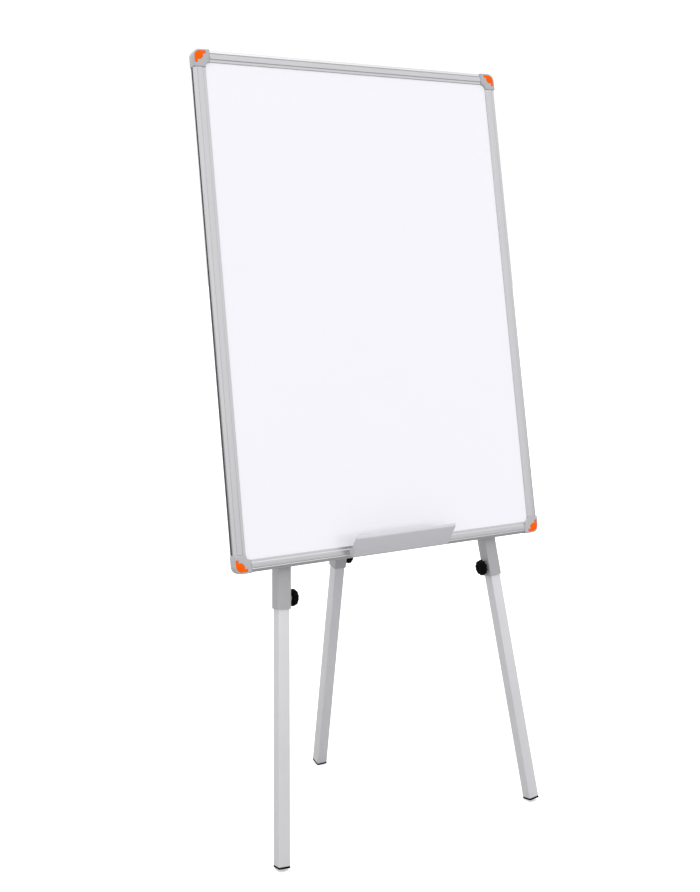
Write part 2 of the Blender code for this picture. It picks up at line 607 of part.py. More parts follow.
# the drawing's X and Y are the board's Y and Z, run along the board's X
along_x = Matrix(((0, 0, 1, 0), (1, 0, 0, 0), (0, 1, 0, bar_z), (0, 0, 0, 1)))
crossbar = finish_mesh(prism_bm([channel], -bar_half, bar_half, along_x), "crossbar",
                       board, at=(0, web0, bar_z))
material(crossbar, *SLEEVE_GREY)
bolt_x = LEG_X0 - (bar_z + BOARD_H / 2) * math.tan(splay)
for side, label in ((-1, "left"), (1, "right")):
    x = side * bolt_x
    hole(crossbar, "bar_bolt_hole_" + label, board, (x, web0 - 1, bar_z), 4, 3.3, "Y")
    bolt = finish_mesh(cylinder_bm((x, web1 + GAP, bar_z), 4.0, 5.8, "Y", 6),
                       "crossbar_bolt_" + label, board, at=(x, web1, bar_z))
    weld_on(bolt, cylinder("bar_bolt_shank_" + label, board, (x, web1 - 10, bar_z),
                           11, 3.0, "Y", 16, cutters))
    material(smooth(bolt), *FASTENER)

# ------------------------------------------------------- the hinge bracket
ear_in = SLEEVE_W / 2 + EAR_GAP
ear_out = ear_in + BRACKET_SHEET
bracket = box("hinge_bracket", board, (-BRACKET_HALF, base_y0, pin_z - EAR_H / 2),
              (BRACKET_HALF, base_y1, pin_z + EAR_H / 2))
for side, label in ((-1, "left"), (1, "right")):
    # each ear is a plate with a rounded end about the pin
    ear_line = ([(base_y0 + 0.5, -EAR_H / 2)]
                + arc(pin_y, 0, EAR_OVER, -90, 90, 8)
                + [(base_y0 + 0.5, EAR_H / 2)])
    x0, x1 = sorted((side * ear_in, side * ear_out))
    ear = finish_mesh(prism_bm([ear_line], x0, x1, along_x @ Matrix.Translation(
        (0, pin_z - bar_z, 0))), "ear_" + label, board, cutters)
    weld_on(bracket, ear)
hole(bracket, "ear_bore", board, (-30, pin_y, pin_z), 60, PIN_R + GAP, "X", 24)
for side, label in ((-1, "left"), (1, "right")):
    x = side * (BRACKET_HALF - 8)
    hole(bracket, "rivet_hole_base_" + label, board, (x, base_y0 - 2, pin_z), 6, 2.7, "Y", 12)
    hole(crossbar, "rivet_hole_bar_" + label, board, (x, web0 - 2, pin_z), 6, 2.7, "Y", 12)
    rivet = finish_mesh(cylinder_bm((x, base_y1 + GAP, pin_z), 1.8, 4.6, "Y", 16, 3.0),
                        "bracket_rivet_" + label, board, at=(x, base_y1, pin_z))
    weld_on(rivet, cylinder("rivet_shank_" + label, board, (x, web0 - GAP - 1.0, pin_z),
                            base_y1 - web0 + 2 * GAP + 2.0, 2.4, "Y", 12, cutters))
    weld_on(rivet, cylinder("rivet_tail_" + label, board, (x, web0 - GAP - 1.6, pin_z),
                            1.6, 4.2, "Y", 16, cutters))
    material(smooth(rivet), *FASTENER)
material(smooth(bracket), *SLEEVE_GREY)

# Hinge bolt: hexagon head on the left ear, nut on the right ear.
bolt_head_x = -ear_out - GAP
hinge_bolt = finish_mesh(prism_bm([arc(0, 0, 7.5, 0, 300, 5)], bolt_head_x - 5, bolt_head_x,
                                  Matrix.Translation((0, pin_y, pin_z)) @ AXIS_TURN["X"]),
                         "hinge_bolt", board, at=(0, pin_y, pin_z))
weld_on(hinge_bolt, cylinder("hinge_bolt_shank", board, (bolt_head_x - 1, pin_y, pin_z),
                             1 + 2 * ear_out + GAP + 8.5, PIN_R, "X", 24, cutters))
material(smooth(hinge_bolt), *FASTENER)
nut = finish_mesh(prism_bm([arc(0, 0, 7.5, 0, 300, 5),
                            arc(0, 0, PIN_R + GAP, 0, 345, 23)],
                           ear_out + GAP, ear_out + GAP + 7,
                           Matrix.Translation((0, pin_y, pin_z)) @ AXIS_TURN["X"]),
                  "hinge_nut", board, at=(ear_out, pin_y, pin_z))
material(smooth(nut), *FASTENER)

# -------------------------------------------------------------- the rear leg
rear_sleeve, rear_bush = sleeve_and_bush("rear_sleeve", "sleeve_bush_rear", rear_leg,
                                         rear_sleeve_z0, REAR_ABOVE_PIN)
hole(rear_sleeve, "rear_sleeve_bore", rear_leg, (-30, 0, 0), 60, PIN_R + GAP, "X", 24)
rear_plug = top_plug("sleeve_plug_rear", rear_leg, REAR_ABOVE_PIN)
for modifier in list(rear_plug.modifiers):
    rear_plug.modifiers.remove(modifier)
bpy.data.objects.remove(bpy.data.objects["sleeve_plug_rear_stem"], do_unlink=True)
# Its stem is short, because the hinge bolt crosses the tube just below it.
weld_on(rear_plug, finish_mesh(
    prism_bm([rounded_rect(SLEEVE_W - 2 * SLEEVE_WALL - 2 * GAP,
                           SLEEVE_D - 2 * SLEEVE_WALL - 2 * GAP, 1.0, 2)],
             PIN_R + 1.5, REAR_ABOVE_PIN + GAP + 0.5),
    "rear_plug_stem", rear_leg, cutters))
material(smooth(rear_plug), *BLACK)
clamp("rear", rear_leg, 1, rear_sleeve_z0 + KNOB_FROM_END, rear_sleeve, rear_bush)
lower_leg("rear", rear_leg, rear_foot_z, rear_sleeve_z0 + LOWER_IN - rear_foot_z)
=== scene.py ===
import json
import math
import random

import bmesh
import bpy
from mathutils import Matrix, Vector
from mathutils.geometry import tessellate_polygon

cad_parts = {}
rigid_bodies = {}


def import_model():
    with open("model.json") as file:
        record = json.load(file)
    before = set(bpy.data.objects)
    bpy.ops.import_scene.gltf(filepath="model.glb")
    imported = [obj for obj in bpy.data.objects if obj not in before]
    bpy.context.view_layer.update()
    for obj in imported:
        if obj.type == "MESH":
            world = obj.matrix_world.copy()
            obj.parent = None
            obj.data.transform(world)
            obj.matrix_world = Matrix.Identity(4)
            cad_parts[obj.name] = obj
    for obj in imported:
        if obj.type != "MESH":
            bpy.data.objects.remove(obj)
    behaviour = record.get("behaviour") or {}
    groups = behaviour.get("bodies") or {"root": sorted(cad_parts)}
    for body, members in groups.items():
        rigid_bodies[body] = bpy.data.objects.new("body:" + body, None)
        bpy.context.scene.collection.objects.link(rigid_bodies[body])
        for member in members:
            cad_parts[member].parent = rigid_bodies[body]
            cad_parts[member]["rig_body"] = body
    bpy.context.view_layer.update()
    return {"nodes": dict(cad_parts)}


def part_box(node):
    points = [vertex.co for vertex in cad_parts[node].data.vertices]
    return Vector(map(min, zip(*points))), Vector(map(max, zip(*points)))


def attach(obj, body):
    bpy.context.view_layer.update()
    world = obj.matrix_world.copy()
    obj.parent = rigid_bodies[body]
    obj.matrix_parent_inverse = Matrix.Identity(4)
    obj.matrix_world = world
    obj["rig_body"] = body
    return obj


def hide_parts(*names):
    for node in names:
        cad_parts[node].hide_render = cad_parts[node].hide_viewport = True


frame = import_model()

MM = 0.001
GAP = 0.3
random.seed(7)

# ---------------------------------------------------------------- dimensions
BOARD_W, BOARD_H, BOARD_TILT = 700.0, 1000.0, 10.15
RAIL_W, RAIL_T = 24.0, 18.0
GROOVE_U, GROOVE_Y0, GROOVE_Y1, REAR_LIP_W = 13.7, 2.2, 16.2, 20.0
SIDE_SLOT, SIDE_SLOT_Y0, SIDE_SLOT_Y1 = 2.4, 8.2, 15.6
CHAMBER_OUT, CHAMBER_IN = 3.6, 12.2
LIP_STEP_U, RAIL_STEP_W, RAIL_LIP_DROP = 17.2, 1.6, 1.1
CAP_ARM, CAP_PROUD, CAP_R_OUT, CAP_R_IN, TONGUE = 35.0, 1.0, 15.0, 9.0, 20.0
INLAY_RECESS, INLAY_EDGE, INLAY_LEG, INLAY_ARM = 1.2, 3.4, 23.0, 5.2
TRAY_W_TOP, TRAY_W_BOTTOM, TRAY_SHEET = 229.0, 217.0, 1.2
TRAY_FLOOR_Z, TRAY_FLANGE_Z, TRAY_FLOOR_Y = -497.0, -481.5, -19.9
TRAY_LIP_Y, TRAY_BEND_Z, TRAY_TOP_Z = -46.0, -461.8, -455.8
TRAY_SCREW_X, TRAY_SCREW_Z = 80.0, -491.0
SPLAY, LEG_X0, LEG_Y = 5.24, 238.8, 36.2
SLEEVE_W, SLEEVE_D, SLEEVE_WALL, SLEEVE_R = 28.0, 30.0, 1.2, 2.5
SLEEVE_BELOW, SLEEVE_ABOVE = 80.0, 1002.0
LOWER_W, LOWER_D, LOWER_WALL, LOWER_R = 23.0, 25.4, 1.2, 1.2
LOWER_OUT, LOWER_IN = 475.0, 500.0
FOOT_FLANGE, FOOT_PLUG, FOOT_W, FOOT_D = 3.5, 15.0, 23.2, 26.2
PLUG_FLANGE, PLUG_LEN = 2.0, 14.0
KNOB_T, KNOB_R, KNOB_LOBE, KNOB_LOBES = 60.0, 16.6, 2.0, 10
KNOB_X0, KNOB_X1, BOSS_R, BOSS_X1, STUD_R, STUD_X1 = 19.2, 32.2, 6.0, 24.0, 3.0, 29.2
STRAP_W, STRAP_SHEET, STRAP_FOOT, STRAP_U, STRAP_SCREW_X = 12.0, 2.0, 12.0, 7.9, 22.0
BAR_SHEET, BAR_H, BAR_FLANGE, BAR_OVER = 2.0, 30.0, 7.0, 21.0
REAR_TILT, REAR_Y_BOTTOM = 21.02, 251.6
BRACKET_SHEET, BRACKET_HALF, EAR_GAP, EAR_H, EAR_OVER = 2.0, 34.0, 0.5, 25.0, 12.0
REAR_ABOVE_PIN, PIN_R, REAR_SLEEVE_BELOW = 13.0, 4.0, 39.7

# --------------------------------------------------------------- local frames
tilt, splay, rear = (math.radians(a) for a in (BOARD_TILT, SPLAY, REAR_TILT))
bar_web_y0 = LEG_Y + SLEEVE_D / 2 + GAP
bar_web_y1 = bar_web_y0 + BAR_SHEET
base_y0 = bar_web_y1 + GAP
base_y1 = base_y0 + BRACKET_SHEET
pin_y = (base_y1 + GAP + SLEEVE_D / 2 * math.cos(rear)
         + (REAR_ABOVE_PIN + PLUG_FLANGE) * math.sin(rear))
pin_z = -BOARD_H / 2 + (REAR_Y_BOTTOM - pin_y) / math.tan(rear)
rear_sleeve_z0 = -((pin_z + BOARD_H / 2) / math.cos(rear) + REAR_SLEEVE_BELOW)
board_turn = Matrix.Rotation(-tilt, 4, "X")
front_foot_z = -SLEEVE_BELOW - LOWER_OUT


def foot_corners(origin, turn, foot_z):
    half_w, half_d = FOOT_W / 2, FOOT_D / 2
    return [board_turn @ (Vector(origin) + turn @ Vector((x, y, foot_z)))
            for x in (-half_w, half_w) for y in (-half_d, half_d)]


left_turn, rear_turn = Matrix.Rotation(splay, 4, "Y"), Matrix.Rotation(rear, 4, "X")
left_corners = foot_corners((-LEG_X0, LEG_Y, -BOARD_H / 2), left_turn, front_foot_z)
floor_z = min(c.z for c in left_corners)
rear_corners = foot_corners((0, pin_y, pin_z), rear_turn, rear_sleeve_z0 - LOWER_OUT)
rear_down = (board_turn @ rear_turn @ Vector((0, 0, -1))).z
rear_foot_z = (rear_sleeve_z0 - LOWER_OUT
               - (floor_z - min(c.z for c in rear_corners)) / rear_down)
rear_corners = foot_corners((0, pin_y, pin_z), rear_turn, rear_foot_z)
front_y, back_y = min(c.y for c in left_corners), max(c.y for c in rear_corners)

BOARD = Matrix.Translation((0, -(front_y + back_y) / 2, -floor_z)) @ board_turn
LEFT = BOARD @ Matrix.Translation((-LEG_X0, LEG_Y, -BOARD_H / 2)) @ left_turn
RIGHT = (BOARD @ Matrix.Translation((LEG_X0, LEG_Y, -BOARD_H / 2))
         @ Matrix.Rotation(-splay, 4, "Y"))
REAR = BOARD @ Matrix.Translation((0, pin_y, pin_z)) @ rear_turn


def in_metres(place):
    """The same placement, for a mesh drawn in metres."""
    m = place.copy()
    m.translation = place.translation * MM
    return m


# ------------------------------------------------------------ outline helpers
def arc(cx, cy, r, a0, a1, steps, ry=None):
    ry = r if ry is None else ry
    return [(cx + r * math.cos(math.radians(a0 + (a1 - a0) * i / steps)),
             cy + ry * math.sin(math.radians(a0 + (a1 - a0) * i / steps)))
            for i in range(steps + 1)]


def rounded_rect(w, d, r, steps=6):
    points = []
    for cx, cy, a0 in ((w / 2 - r, d / 2 - r, 0), (-w / 2 + r, d / 2 - r, 90),
                       (-w / 2 + r, -d / 2 + r, 180), (w / 2 - r, -d / 2 + r, 270)):
        points += arc(cx, cy, r, a0, a0 + 90, steps)
    return points


def fillet(points, radii, steps=4, closed=True):
    """Round the corners of an outline, each with its own radius."""
    out, n = [], len(points)
    for i, point in enumerate(points):
        r = radii[i] if isinstance(radii, (list, tuple)) else radii
        p = Vector(point)
        if r <= 0 or (not closed and i in (0, n - 1)):
            out.append((p.x, p.y))
            continue
        a, b = Vector(points[i - 1]) - p, Vector(points[(i + 1) % n]) - p
        la, lb = a.length, b.length
        a.normalize()
        b.normalize()
        angle = a.angle(b)
        if angle > math.radians(178):
            out.append((p.x, p.y))
            continue
        reach = min(r / math.tan(angle / 2), 0.48 * la, 0.48 * lb)
        radius = reach * math.tan(angle / 2)
        centre = p + (a + b).normalized() * (radius / math.sin(angle / 2))
        v0, v1 = p + a * reach - centre, p + b * reach - centre
        turn = math.atan2(v0.x * v1.y - v0.y * v1.x, v0.dot(v1))
        for k in range(steps + 1):
            t = turn * k / steps
            out.append((centre.x + v0.x * math.cos(t) - v0.y * math.sin(t),
                        centre.y + v0.x * math.sin(t) + v0.y * math.cos(t)))
    return out


def inset(points, d):
    """Closed outline moved inwards by d, with mitred corners."""
    n = len(points)
    area = sum(points[i - 1][0] * points[i][1] - points[i][0] * points[i - 1][1]
               for i in range(n))
    sign = 1 if area > 0 else -1
    out = []
    for i in range(n):
        p0, p1, p2 = Vector(points[i - 1]), Vector(points[i]), Vector(points[(i + 1) % n])
        e1, e2 = (p1 - p0).normalized(), (p2 - p1).normalized()
        n1 = Vector((-e1.y, e1.x)) * sign
        n2 = Vector((-e2.y, e2.x)) * sign
        q = p1 + (n1 + n2) * (d / (1 + n1.dot(n2)))
        out.append((q.x, q.y))
    return out


# --------------------------------------------------------------- mesh helpers
def loft(bm, rings, closed=False):
    """Quads between rings of equal length; each ring closes on itself."""
    vs = [[bm.verts.new(p) for p in ring] for ring in rings]
    for i in range(len(vs) if closed else len(vs) - 1):
        a, b = vs[i], vs[(i + 1) % len(vs)]
        for j in range(len(a)):
            k = (j + 1) % len(a)
            bm.faces.new((a[j], a[k], b[k], b[j]))
    return vs


def fill(bm, loops, axes=(0, 1)):
    """Flat end made of triangles between the first loop and the holes in it."""
    flat = [v for loop in loops for v in loop]
    outlines = [[Vector((v.co[axes[0]], v.co[axes[1]], 0)) for v in loop] for loop in loops]
    for tri in tessellate_polygon(outlines):
        bm.faces.new([flat[i] for i in tri])


def end_steps(z, r, outward, steps=3):
    """(height, inset) pairs that round an end edge by r, from the side to the end."""
    return [(z - outward * r * (1 - math.sin(math.radians(90 * i / steps))),
             r * (1 - math.cos(math.radians(90 * i / steps)))) for i in range(steps + 1)]


def prism(outline, z0, z1, r0=0.4, r1=None, holes=(), steps=3):
    """Bar along Z with rounded end edges and straight holes right through."""
    r1 = r0 if r1 is None else r1
    levels = (list(reversed(end_steps(z0, r0, -1, steps))) if r0 else [(z0, 0)])
    levels += end_steps(z1, r1, 1, steps) if r1 else [(z1, 0)]
    bm = bmesh.new()
    rings = [[(x, y, z) for x, y in (inset(outline, d) if d else outline)] for z, d in levels]
    outer = loft(bm, rings)
    ends = [[outer[0]], [outer[-1]]]
    for hole in holes:
        inner = loft(bm, [[(x, y, z) for x, y in hole] for z in (z0, z1)])
        ends[0].append(inner[0])
        ends[1].append(inner[-1])
    for loops in ends:
        fill(bm, loops)
    return bm


def tube(outer, inner, z0, z1, r=0.35):
    """Tube along Z; outer and inner outlines have the same number of points."""
    rings = [[(x, y, z) for x, y in inset(outer, d)]
             for z, d in list(reversed(end_steps(z0, r, -1))) + end_steps(z1, r, 1)]
    rings += [[(x, y, z) for x, y in inner] for z in (z1, z0)]
    bm = bmesh.new()
    loft(bm, rings, closed=True)
    return bm


def turned(profile, count, shape=None):
    """Solid of revolution about Z. profile holds (radius, height) pairs that
    start and end on the axis; shape(radius, height, angle) may change a radius."""
    bm = bmesh.new()
    rings = []
    for r, z in profile[1:-1]:
        ring = []
        for i in range(count):
            a = 2 * math.pi * i / count
            rr = shape(r, z, a) if shape else r
            ring.append((rr * math.cos(a), rr * math.sin(a), z))
        rings.append(ring)
    vs = loft(bm, rings)
    for ring, (_, z) in ((vs[0], profile[0]), (vs[-1], profile[-1])):
        tip = bm.verts.new((0, 0, z))
        for j in range(count):
            bm.faces.new((ring[j], ring[(j + 1) % count], tip))
    return bm


def box_bm(lo, hi):
    bm = bmesh.new()
    bmesh.ops.create_cube(bm, size=1.0)
    lo, hi = Vector(lo), Vector(hi)
    bm.transform(Matrix.Translation((lo + hi) / 2) @ Matrix.Diagonal((*(hi - lo), 1.0)))
    return bm


def rod_bm(start, length, radius, axis="Z", sides=32):
    bm = bmesh.new()
    bmesh.ops.create_cone(bm, cap_ends=True, segments=sides, radius1=radius,
                          radius2=radius, depth=length)
    bm.transform(Matrix.Translation(start) @ AXIS_TURN[axis]
                 @ Matrix.Translation((0, 0, length / 2)))
    return bm


AXIS_TURN = {"X": Matrix.Rotation(math.pi / 2, 4, "Y"),
             "Y": Matrix.Rotation(-math.pi / 2, 4, "X"),
             "Z": Matrix.Identity(4)}


def mesh_from(bm, name):
    bmesh.ops.remove_doubles(bm, verts=bm.verts, dist=1e-4)
    bmesh.ops.recalc_face_normals(bm, faces=bm.faces)
    bm.transform(Matrix.Scale(MM, 4))
    mesh = bpy.data.meshes.new(name)
    bm.to_mesh(mesh)
    bm.free()
    return mesh


def boolean(obj, bm, operation, place=None):
    """Cut or add a simple solid, worked out now so that no helper is left."""
    tool = bpy.data.objects.new("tool", mesh_from(bm, "tool"))
    bpy.context.scene.collection.objects.link(tool)
    tool.matrix_world = obj.matrix_world @ (in_metres(place) if place else Matrix.Identity(4))
    modifier = obj.modifiers.new("shape", "BOOLEAN")
    modifier.operation, modifier.solver, modifier.object = operation, "EXACT", tool
    bpy.context.view_layer.update()
    graph = bpy.context.evaluated_depsgraph_get()
    mesh = bpy.data.meshes.new_from_object(obj.evaluated_get(graph))
    obj.modifiers.remove(modifier)
    old = obj.data
    obj.data = mesh
    bpy.data.meshes.remove(old)
    bpy.data.objects.remove(tool, do_unlink=True)


def place_object(name, bm, where):
    obj = bpy.data.objects.new(name, mesh_from(bm, name))
    bpy.context.scene.collection.objects.link(obj)
    obj.matrix_world = in_metres(where)
    return obj


worst = []


def world_box(obj):
    bpy.context.view_layer.update()
    points = [obj.matrix_world @ v.co for v in obj.data.vertices]
    return ([min(p[i] for p in points) for i in range(3)],
            [max(p[i] for p in points) for i in range(3)])


def settle(obj, finish, nodes, smooth=30.0, bevel=0.0, segments=2, angle=40.0):
    """Finish, shading, body and CAD node of a piece that is in place."""
    obj.data.materials.clear()
    obj.data.materials.append(finish)
    for polygon in obj.data.polygons:
        polygon.material_index = 0
    if bevel:
        modifier = obj.modifiers.new("edges", "BEVEL")
        modifier.width, modifier.segments = bevel * MM, segments
        modifier.limit_method, modifier.angle_limit = "ANGLE", math.radians(angle)
        modifier.use_clamp_overlap = True
        modifier.harden_normals = False
    obj.data.shade_smooth()
    obj.data.set_sharp_from_angle(angle=math.radians(smooth))
    nodes = [nodes] if isinstance(nodes, str) else list(nodes)
    lo, hi = world_box(obj)
    cads = [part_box(n) for n in nodes]
    diff = max(max(abs(lo[i] - min(c[0][i] for c in cads)),
                   abs(hi[i] - max(c[1][i] for c in cads))) for i in range(3))
    worst.append((round(diff * 1000, 2), obj.name))
    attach(obj, frame["nodes"][nodes[0]]["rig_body"])
    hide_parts(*nodes)
    return obj


# -------------------------------------------------------------------- finishes
class Finish:
    """A node material with layers of noise that change colour, roughness and
    surface height. Coordinates are the piece's own, in metres."""

    def __init__(self, name, base, rough, metallic=0.0, specular=0.5, coat=0.0,
                 coat_rough=0.1):
        self.material = bpy.data.materials.new(name)
        self.material.use_nodes = True
        self.tree = self.material.node_tree
        self.shader = self.tree.nodes["Principled BSDF"]
        self.shader.inputs["Base Color"].default_value = (*base, 1)
        self.shader.inputs["Roughness"].default_value = rough
        self.shader.inputs["Metallic"].default_value = metallic
        self.shader.inputs["Specular IOR Level"].default_value = specular
        self.shader.inputs["Coat Weight"].default_value = coat
        self.shader.inputs["Coat Roughness"].default_value = coat_rough
        self.coord = self.tree.nodes.new("ShaderNodeTexCoord")
        self.colour, self.base, self.rough = None, base, rough
        self.rough_out, self.height = None, None

    def node(self, kind, **inputs):
        n = self.tree.nodes.new(kind)
        for key, value in inputs.items():
            n.inputs[key.replace("_", " ")].default_value = value
        return n

    def link(self, a, b):
        self.tree.links.new(a, b)

    def noise(self, scale, detail=3.0, stretch=(1, 1, 1), turn=(0, 0, 0), roughness=0.55):
        mapping = self.node("ShaderNodeMapping", Scale=stretch, Rotation=turn)
        self.link(self.coord.outputs["Object"], mapping.inputs["Vector"])
        n = self.node("ShaderNodeTexNoise", Scale=scale, Detail=detail, Roughness=roughness)
        self.link(mapping.outputs["Vector"], n.inputs["Vector"])
        return n.outputs["Fac"]

    def tint(self, fac, low, high, a=0.3, b=0.7):
        """Multiply the colour by low..high as fac goes from a to b."""
        ramp = self.node("ShaderNodeMapRange", From_Min=a, From_Max=b)
        self.link(fac, ramp.inputs["Value"])
        mix = self.tree.nodes.new("ShaderNodeMix")
        mix.data_type, mix.blend_type = "RGBA", "MIX"
        mix.inputs[6].default_value = (*low, 1)
        mix.inputs[7].default_value = (*high, 1)
        self.link(ramp.outputs["Result"], mix.inputs["Factor"])
        times = self.tree.nodes.new("ShaderNodeMix")
        times.data_type, times.blend_type = "RGBA", "MULTIPLY"
        times.inputs["Factor"].default_value = 1.0
        if self.colour is None:
            times.inputs[6].default_value = (*self.base, 1)
        else:
            self.link(self.colour, times.inputs[6])
        self.link(mix.outputs[2], times.inputs[7])
        self.colour = times.outputs[2]
        self.link(self.colour, self.shader.inputs["Base Color"])
        return self

    def vary(self, fac, low, high, a=0.3, b=0.7):
        """Roughness from low to high as fac goes from a to b."""
        ramp = self.node("ShaderNodeMapRange", From_Min=a, From_Max=b, To_Min=low, To_Max=high)
        self.link(fac, ramp.inputs["Value"])
        self.link(ramp.outputs["Result"], self.shader.inputs["Roughness"])
        return self

    def bump(self, fac, distance_mm, strength=1.0):
        n = self.node("ShaderNodeBump", Strength=strength, Distance=distance_mm * MM)
        self.link(fac, n.inputs["Height"])
        if self.height is not None:
            self.link(self.height, n.inputs["Normal"])
        self.height = n.outputs["Normal"]
        self.link(self.height, self.shader.inputs["Normal"])
        return self


def grey(v, blue=0.0):
    return (v, v, v + blue)


def anodised(name, base, along, rough=0.31, metallic=0.88):
    """Clear-anodised extrusion: die lines along the bar, soft cloud, fine satin."""
    stretch = {"X": (4, 900, 900), "Z": (900, 900, 4), "Y": (900, 4, 900)}[along]
    f = Finish(name, base, rough, metallic)
    lines = f.noise(1.0, 2.0, stretch)
    cloud = f.noise(9.0, 3.0)
    f.tint(lines, grey(0.986), grey(1.010))
    f.tint(cloud, (0.985, 0.985, 0.99), (1.01, 1.01, 1.008))
    f.vary(lines, rough - 0.02, rough + 0.03)
    f.bump(f.noise(2600.0, 2.0), 0.003, 0.4)
    f.bump(lines, 0.0015, 0.3)
    return f.material


def painted(name, base, rough, flake=0.02, metallic=0.0, peel_mm=0.02, specular=0.5,
            peel_scale=420.0):
    """Powder coat: orange peel, pigment speckle and slow cloud."""
    f = Finish(name, base, rough, metallic, specular)
    peel = f.noise(peel_scale, 2.0)
    fleck = f.noise(3200.0, 1.0)
    cloud = f.noise(7.0, 3.0)
    f.tint(fleck, grey(1 - flake), grey(1 + flake))
    f.tint(cloud, (0.978, 0.979, 0.982), (1.014, 1.014, 1.012))
    f.vary(peel, rough - 0.05, rough + 0.06)
    f.bump(peel, peel_mm, 0.7)
    f.bump(fleck, 0.004, 0.5)
    return f.material


def moulded(name, base, rough, specular=0.5, grain_mm=0.02, tint=0.03):
    """Moulded plastic: spark-eroded grain and faint flow shading."""
    f = Finish(name, base, rough, 0.0, specular)
    grain = f.noise(1500.0, 3.0, roughness=0.65)
    flow = f.noise(26.0, 2.0, (1, 1, 2.5))
    f.tint(grain, grey(1 - tint), grey(1 + tint))
    f.tint(flow, grey(0.97), grey(1.02))
    f.vary(grain, rough - 0.06, rough + 0.08)
    f.bump(grain, grain_mm, 0.7)
    return f.material


def plated(name, base, rough):
    """Bright zinc plate: patchy passivation and fine drawing marks."""
    f = Finish(name, base, rough, 1.0)
    patch = f.noise(160.0, 4.0)
    fine = f.noise(2400.0, 2.0, (1, 1, 0.2))
    f.tint(patch, (0.90, 0.91, 0.94), (1.04, 1.03, 1.0))
    f.tint(fine, grey(0.96), grey(1.03))
    f.vary(patch, rough - 0.08, rough + 0.14)
    f.bump(fine, 0.01, 0.5)
    return f.material


def lacquer():
    """White lacquered steel: almost flat, with a slow unevenness in its gloss."""
    f = Finish("white_lacquer_finish", (0.708, 0.698, 0.742), 0.22, 0.0, 0.5, 0.35, 0.12)
    slow = f.noise(3.2, 2.0)
    peel = f.noise(260.0, 2.0)
    f.tint(slow, (0.992, 0.992, 0.994), (1.004, 1.004, 1.003))
    f.tint(f.noise(900.0, 2.0), grey(0.997), grey(1.002))
    f.vary(f.noise(14.0, 3.0), 0.17, 0.25)
    f.bump(peel, 0.006, 0.35)
    return f.material


RAIL_BASE = (0.42, 0.42, 0.432)
M = {
    "rail_x": anodised("anodised_finish_x", RAIL_BASE, "X"),
    "rail_z": anodised("anodised_finish_z", RAIL_BASE, "Z"),
    # the side slot's faces get a dark grey finish: painted shade standing in for the shadow inside the
    # slot
    "slot_painted_shade_x": anodised("anodised_slot_finish_x", (0.10, 0.10, 0.105), "X", 0.5, 0.3),
    "slot_painted_shade_z": anodised("anodised_slot_finish_z", (0.10, 0.10, 0.105), "Z", 0.5, 0.3),
    "cap": moulded("grey_plastic_finish", (0.375, 0.375, 0.387), 0.42, 0.25),
    "inlay": moulded("orange_plastic_finish", (0.80, 0.10, 0.0), 0.55, 0.03, 0.008, 0.015),
    "lacquer": lacquer(),
    "core": painted("core_board_finish", (0.50, 0.38, 0.25), 0.85, 0.10, 0.0, 0.12, 0.2, 150.0),
    "back": anodised("back_sheet_finish", (0.52, 0.53, 0.55), "Z", 0.46, 0.75),
    "tray": painted("tray_paint_finish", (0.552, 0.547, 0.577), 0.38, 0.02, 0.15),
    "sleeve": painted("sleeve_paint_finish", (0.352, 0.352, 0.362), 0.40, 0.025, 0.15),
    "leg": painted("leg_silver_finish", (0.56, 0.56, 0.578), 0.36, 0.02, 0.2),
    "black": moulded("black_plastic_finish", (0.0022, 0.0022, 0.0022), 0.6, 0.03, 0.03, 0.25),
    "zinc": plated("zinc_fastener_finish", (0.66, 0.67, 0.70), 0.30),
}

# ------------------------------------------------------------ the frame rails
# A narrow land, then a broad lean up on to the face, and one drawn groove that runs
# along inside it. The inner lip is a step down towards the panel.
edge = [((0.0, 2.9), 0.4), ((1.3, 2.5), 0.3), ((5.4, 0.0), 0.6), ((6.2, 0.0), 0.15),
        ((7.0, 0.65), 0.2), ((7.5, 0.65), 0.2), ((8.4, 0.05), 0.4)]
lip = [((LIP_STEP_U, 0.0), 0.5), ((LIP_STEP_U + RAIL_STEP_W, RAIL_LIP_DROP), 0.5)]
corners = [((0.0, RAIL_T), 0.5), ((0.0, SIDE_SLOT_Y1), 0.45), ((SIDE_SLOT, SIDE_SLOT_Y1), 0.35),
           ((SIDE_SLOT, SIDE_SLOT_Y0), 0.35), ((0.0, SIDE_SLOT_Y0), 0.45)]
corners += edge + lip
corners += [((RAIL_W - 0.6, RAIL_LIP_DROP), 0.3), ((RAIL_W, RAIL_LIP_DROP + 0.5), 0.2),
            ((RAIL_W, GROOVE_Y0), 0.15), ((GROOVE_U, GROOVE_Y0), 0.0),
            ((GROOVE_U, GROOVE_Y1), 0.0), ((REAR_LIP_W, GROOVE_Y1), 0.2),
            ((REAR_LIP_W, RAIL_T), 0.5)]
rail_outline = fillet([c[0] for c in corners], [c[1] for c in corners], 4)
chamber = fillet([(CHAMBER_OUT, 4.4), (CHAMBER_OUT + 1.8, 2.6), (CHAMBER_IN, 2.8),
                  (CHAMBER_IN, RAIL_T - 2.0), (CHAMBER_OUT, RAIL_T - 2.0)], 0.4, 2)
rail_half_x = BOARD_W / 2 - CAP_ARM + CAP_PROUD - GAP
rail_half_z = BOARD_H / 2 - CAP_ARM + CAP_PROUD - GAP


def in_slot(u, y):
    """True for a point on the floor or walls of the extrusion's side slot; these faces get a dark grey
    finish that paints the shade inside the slot.
    """
    return u > 0.12 and u < SIDE_SLOT + 0.05 and SIDE_SLOT_Y0 - 0.05 < y < SIDE_SLOT_Y1 + 0.05


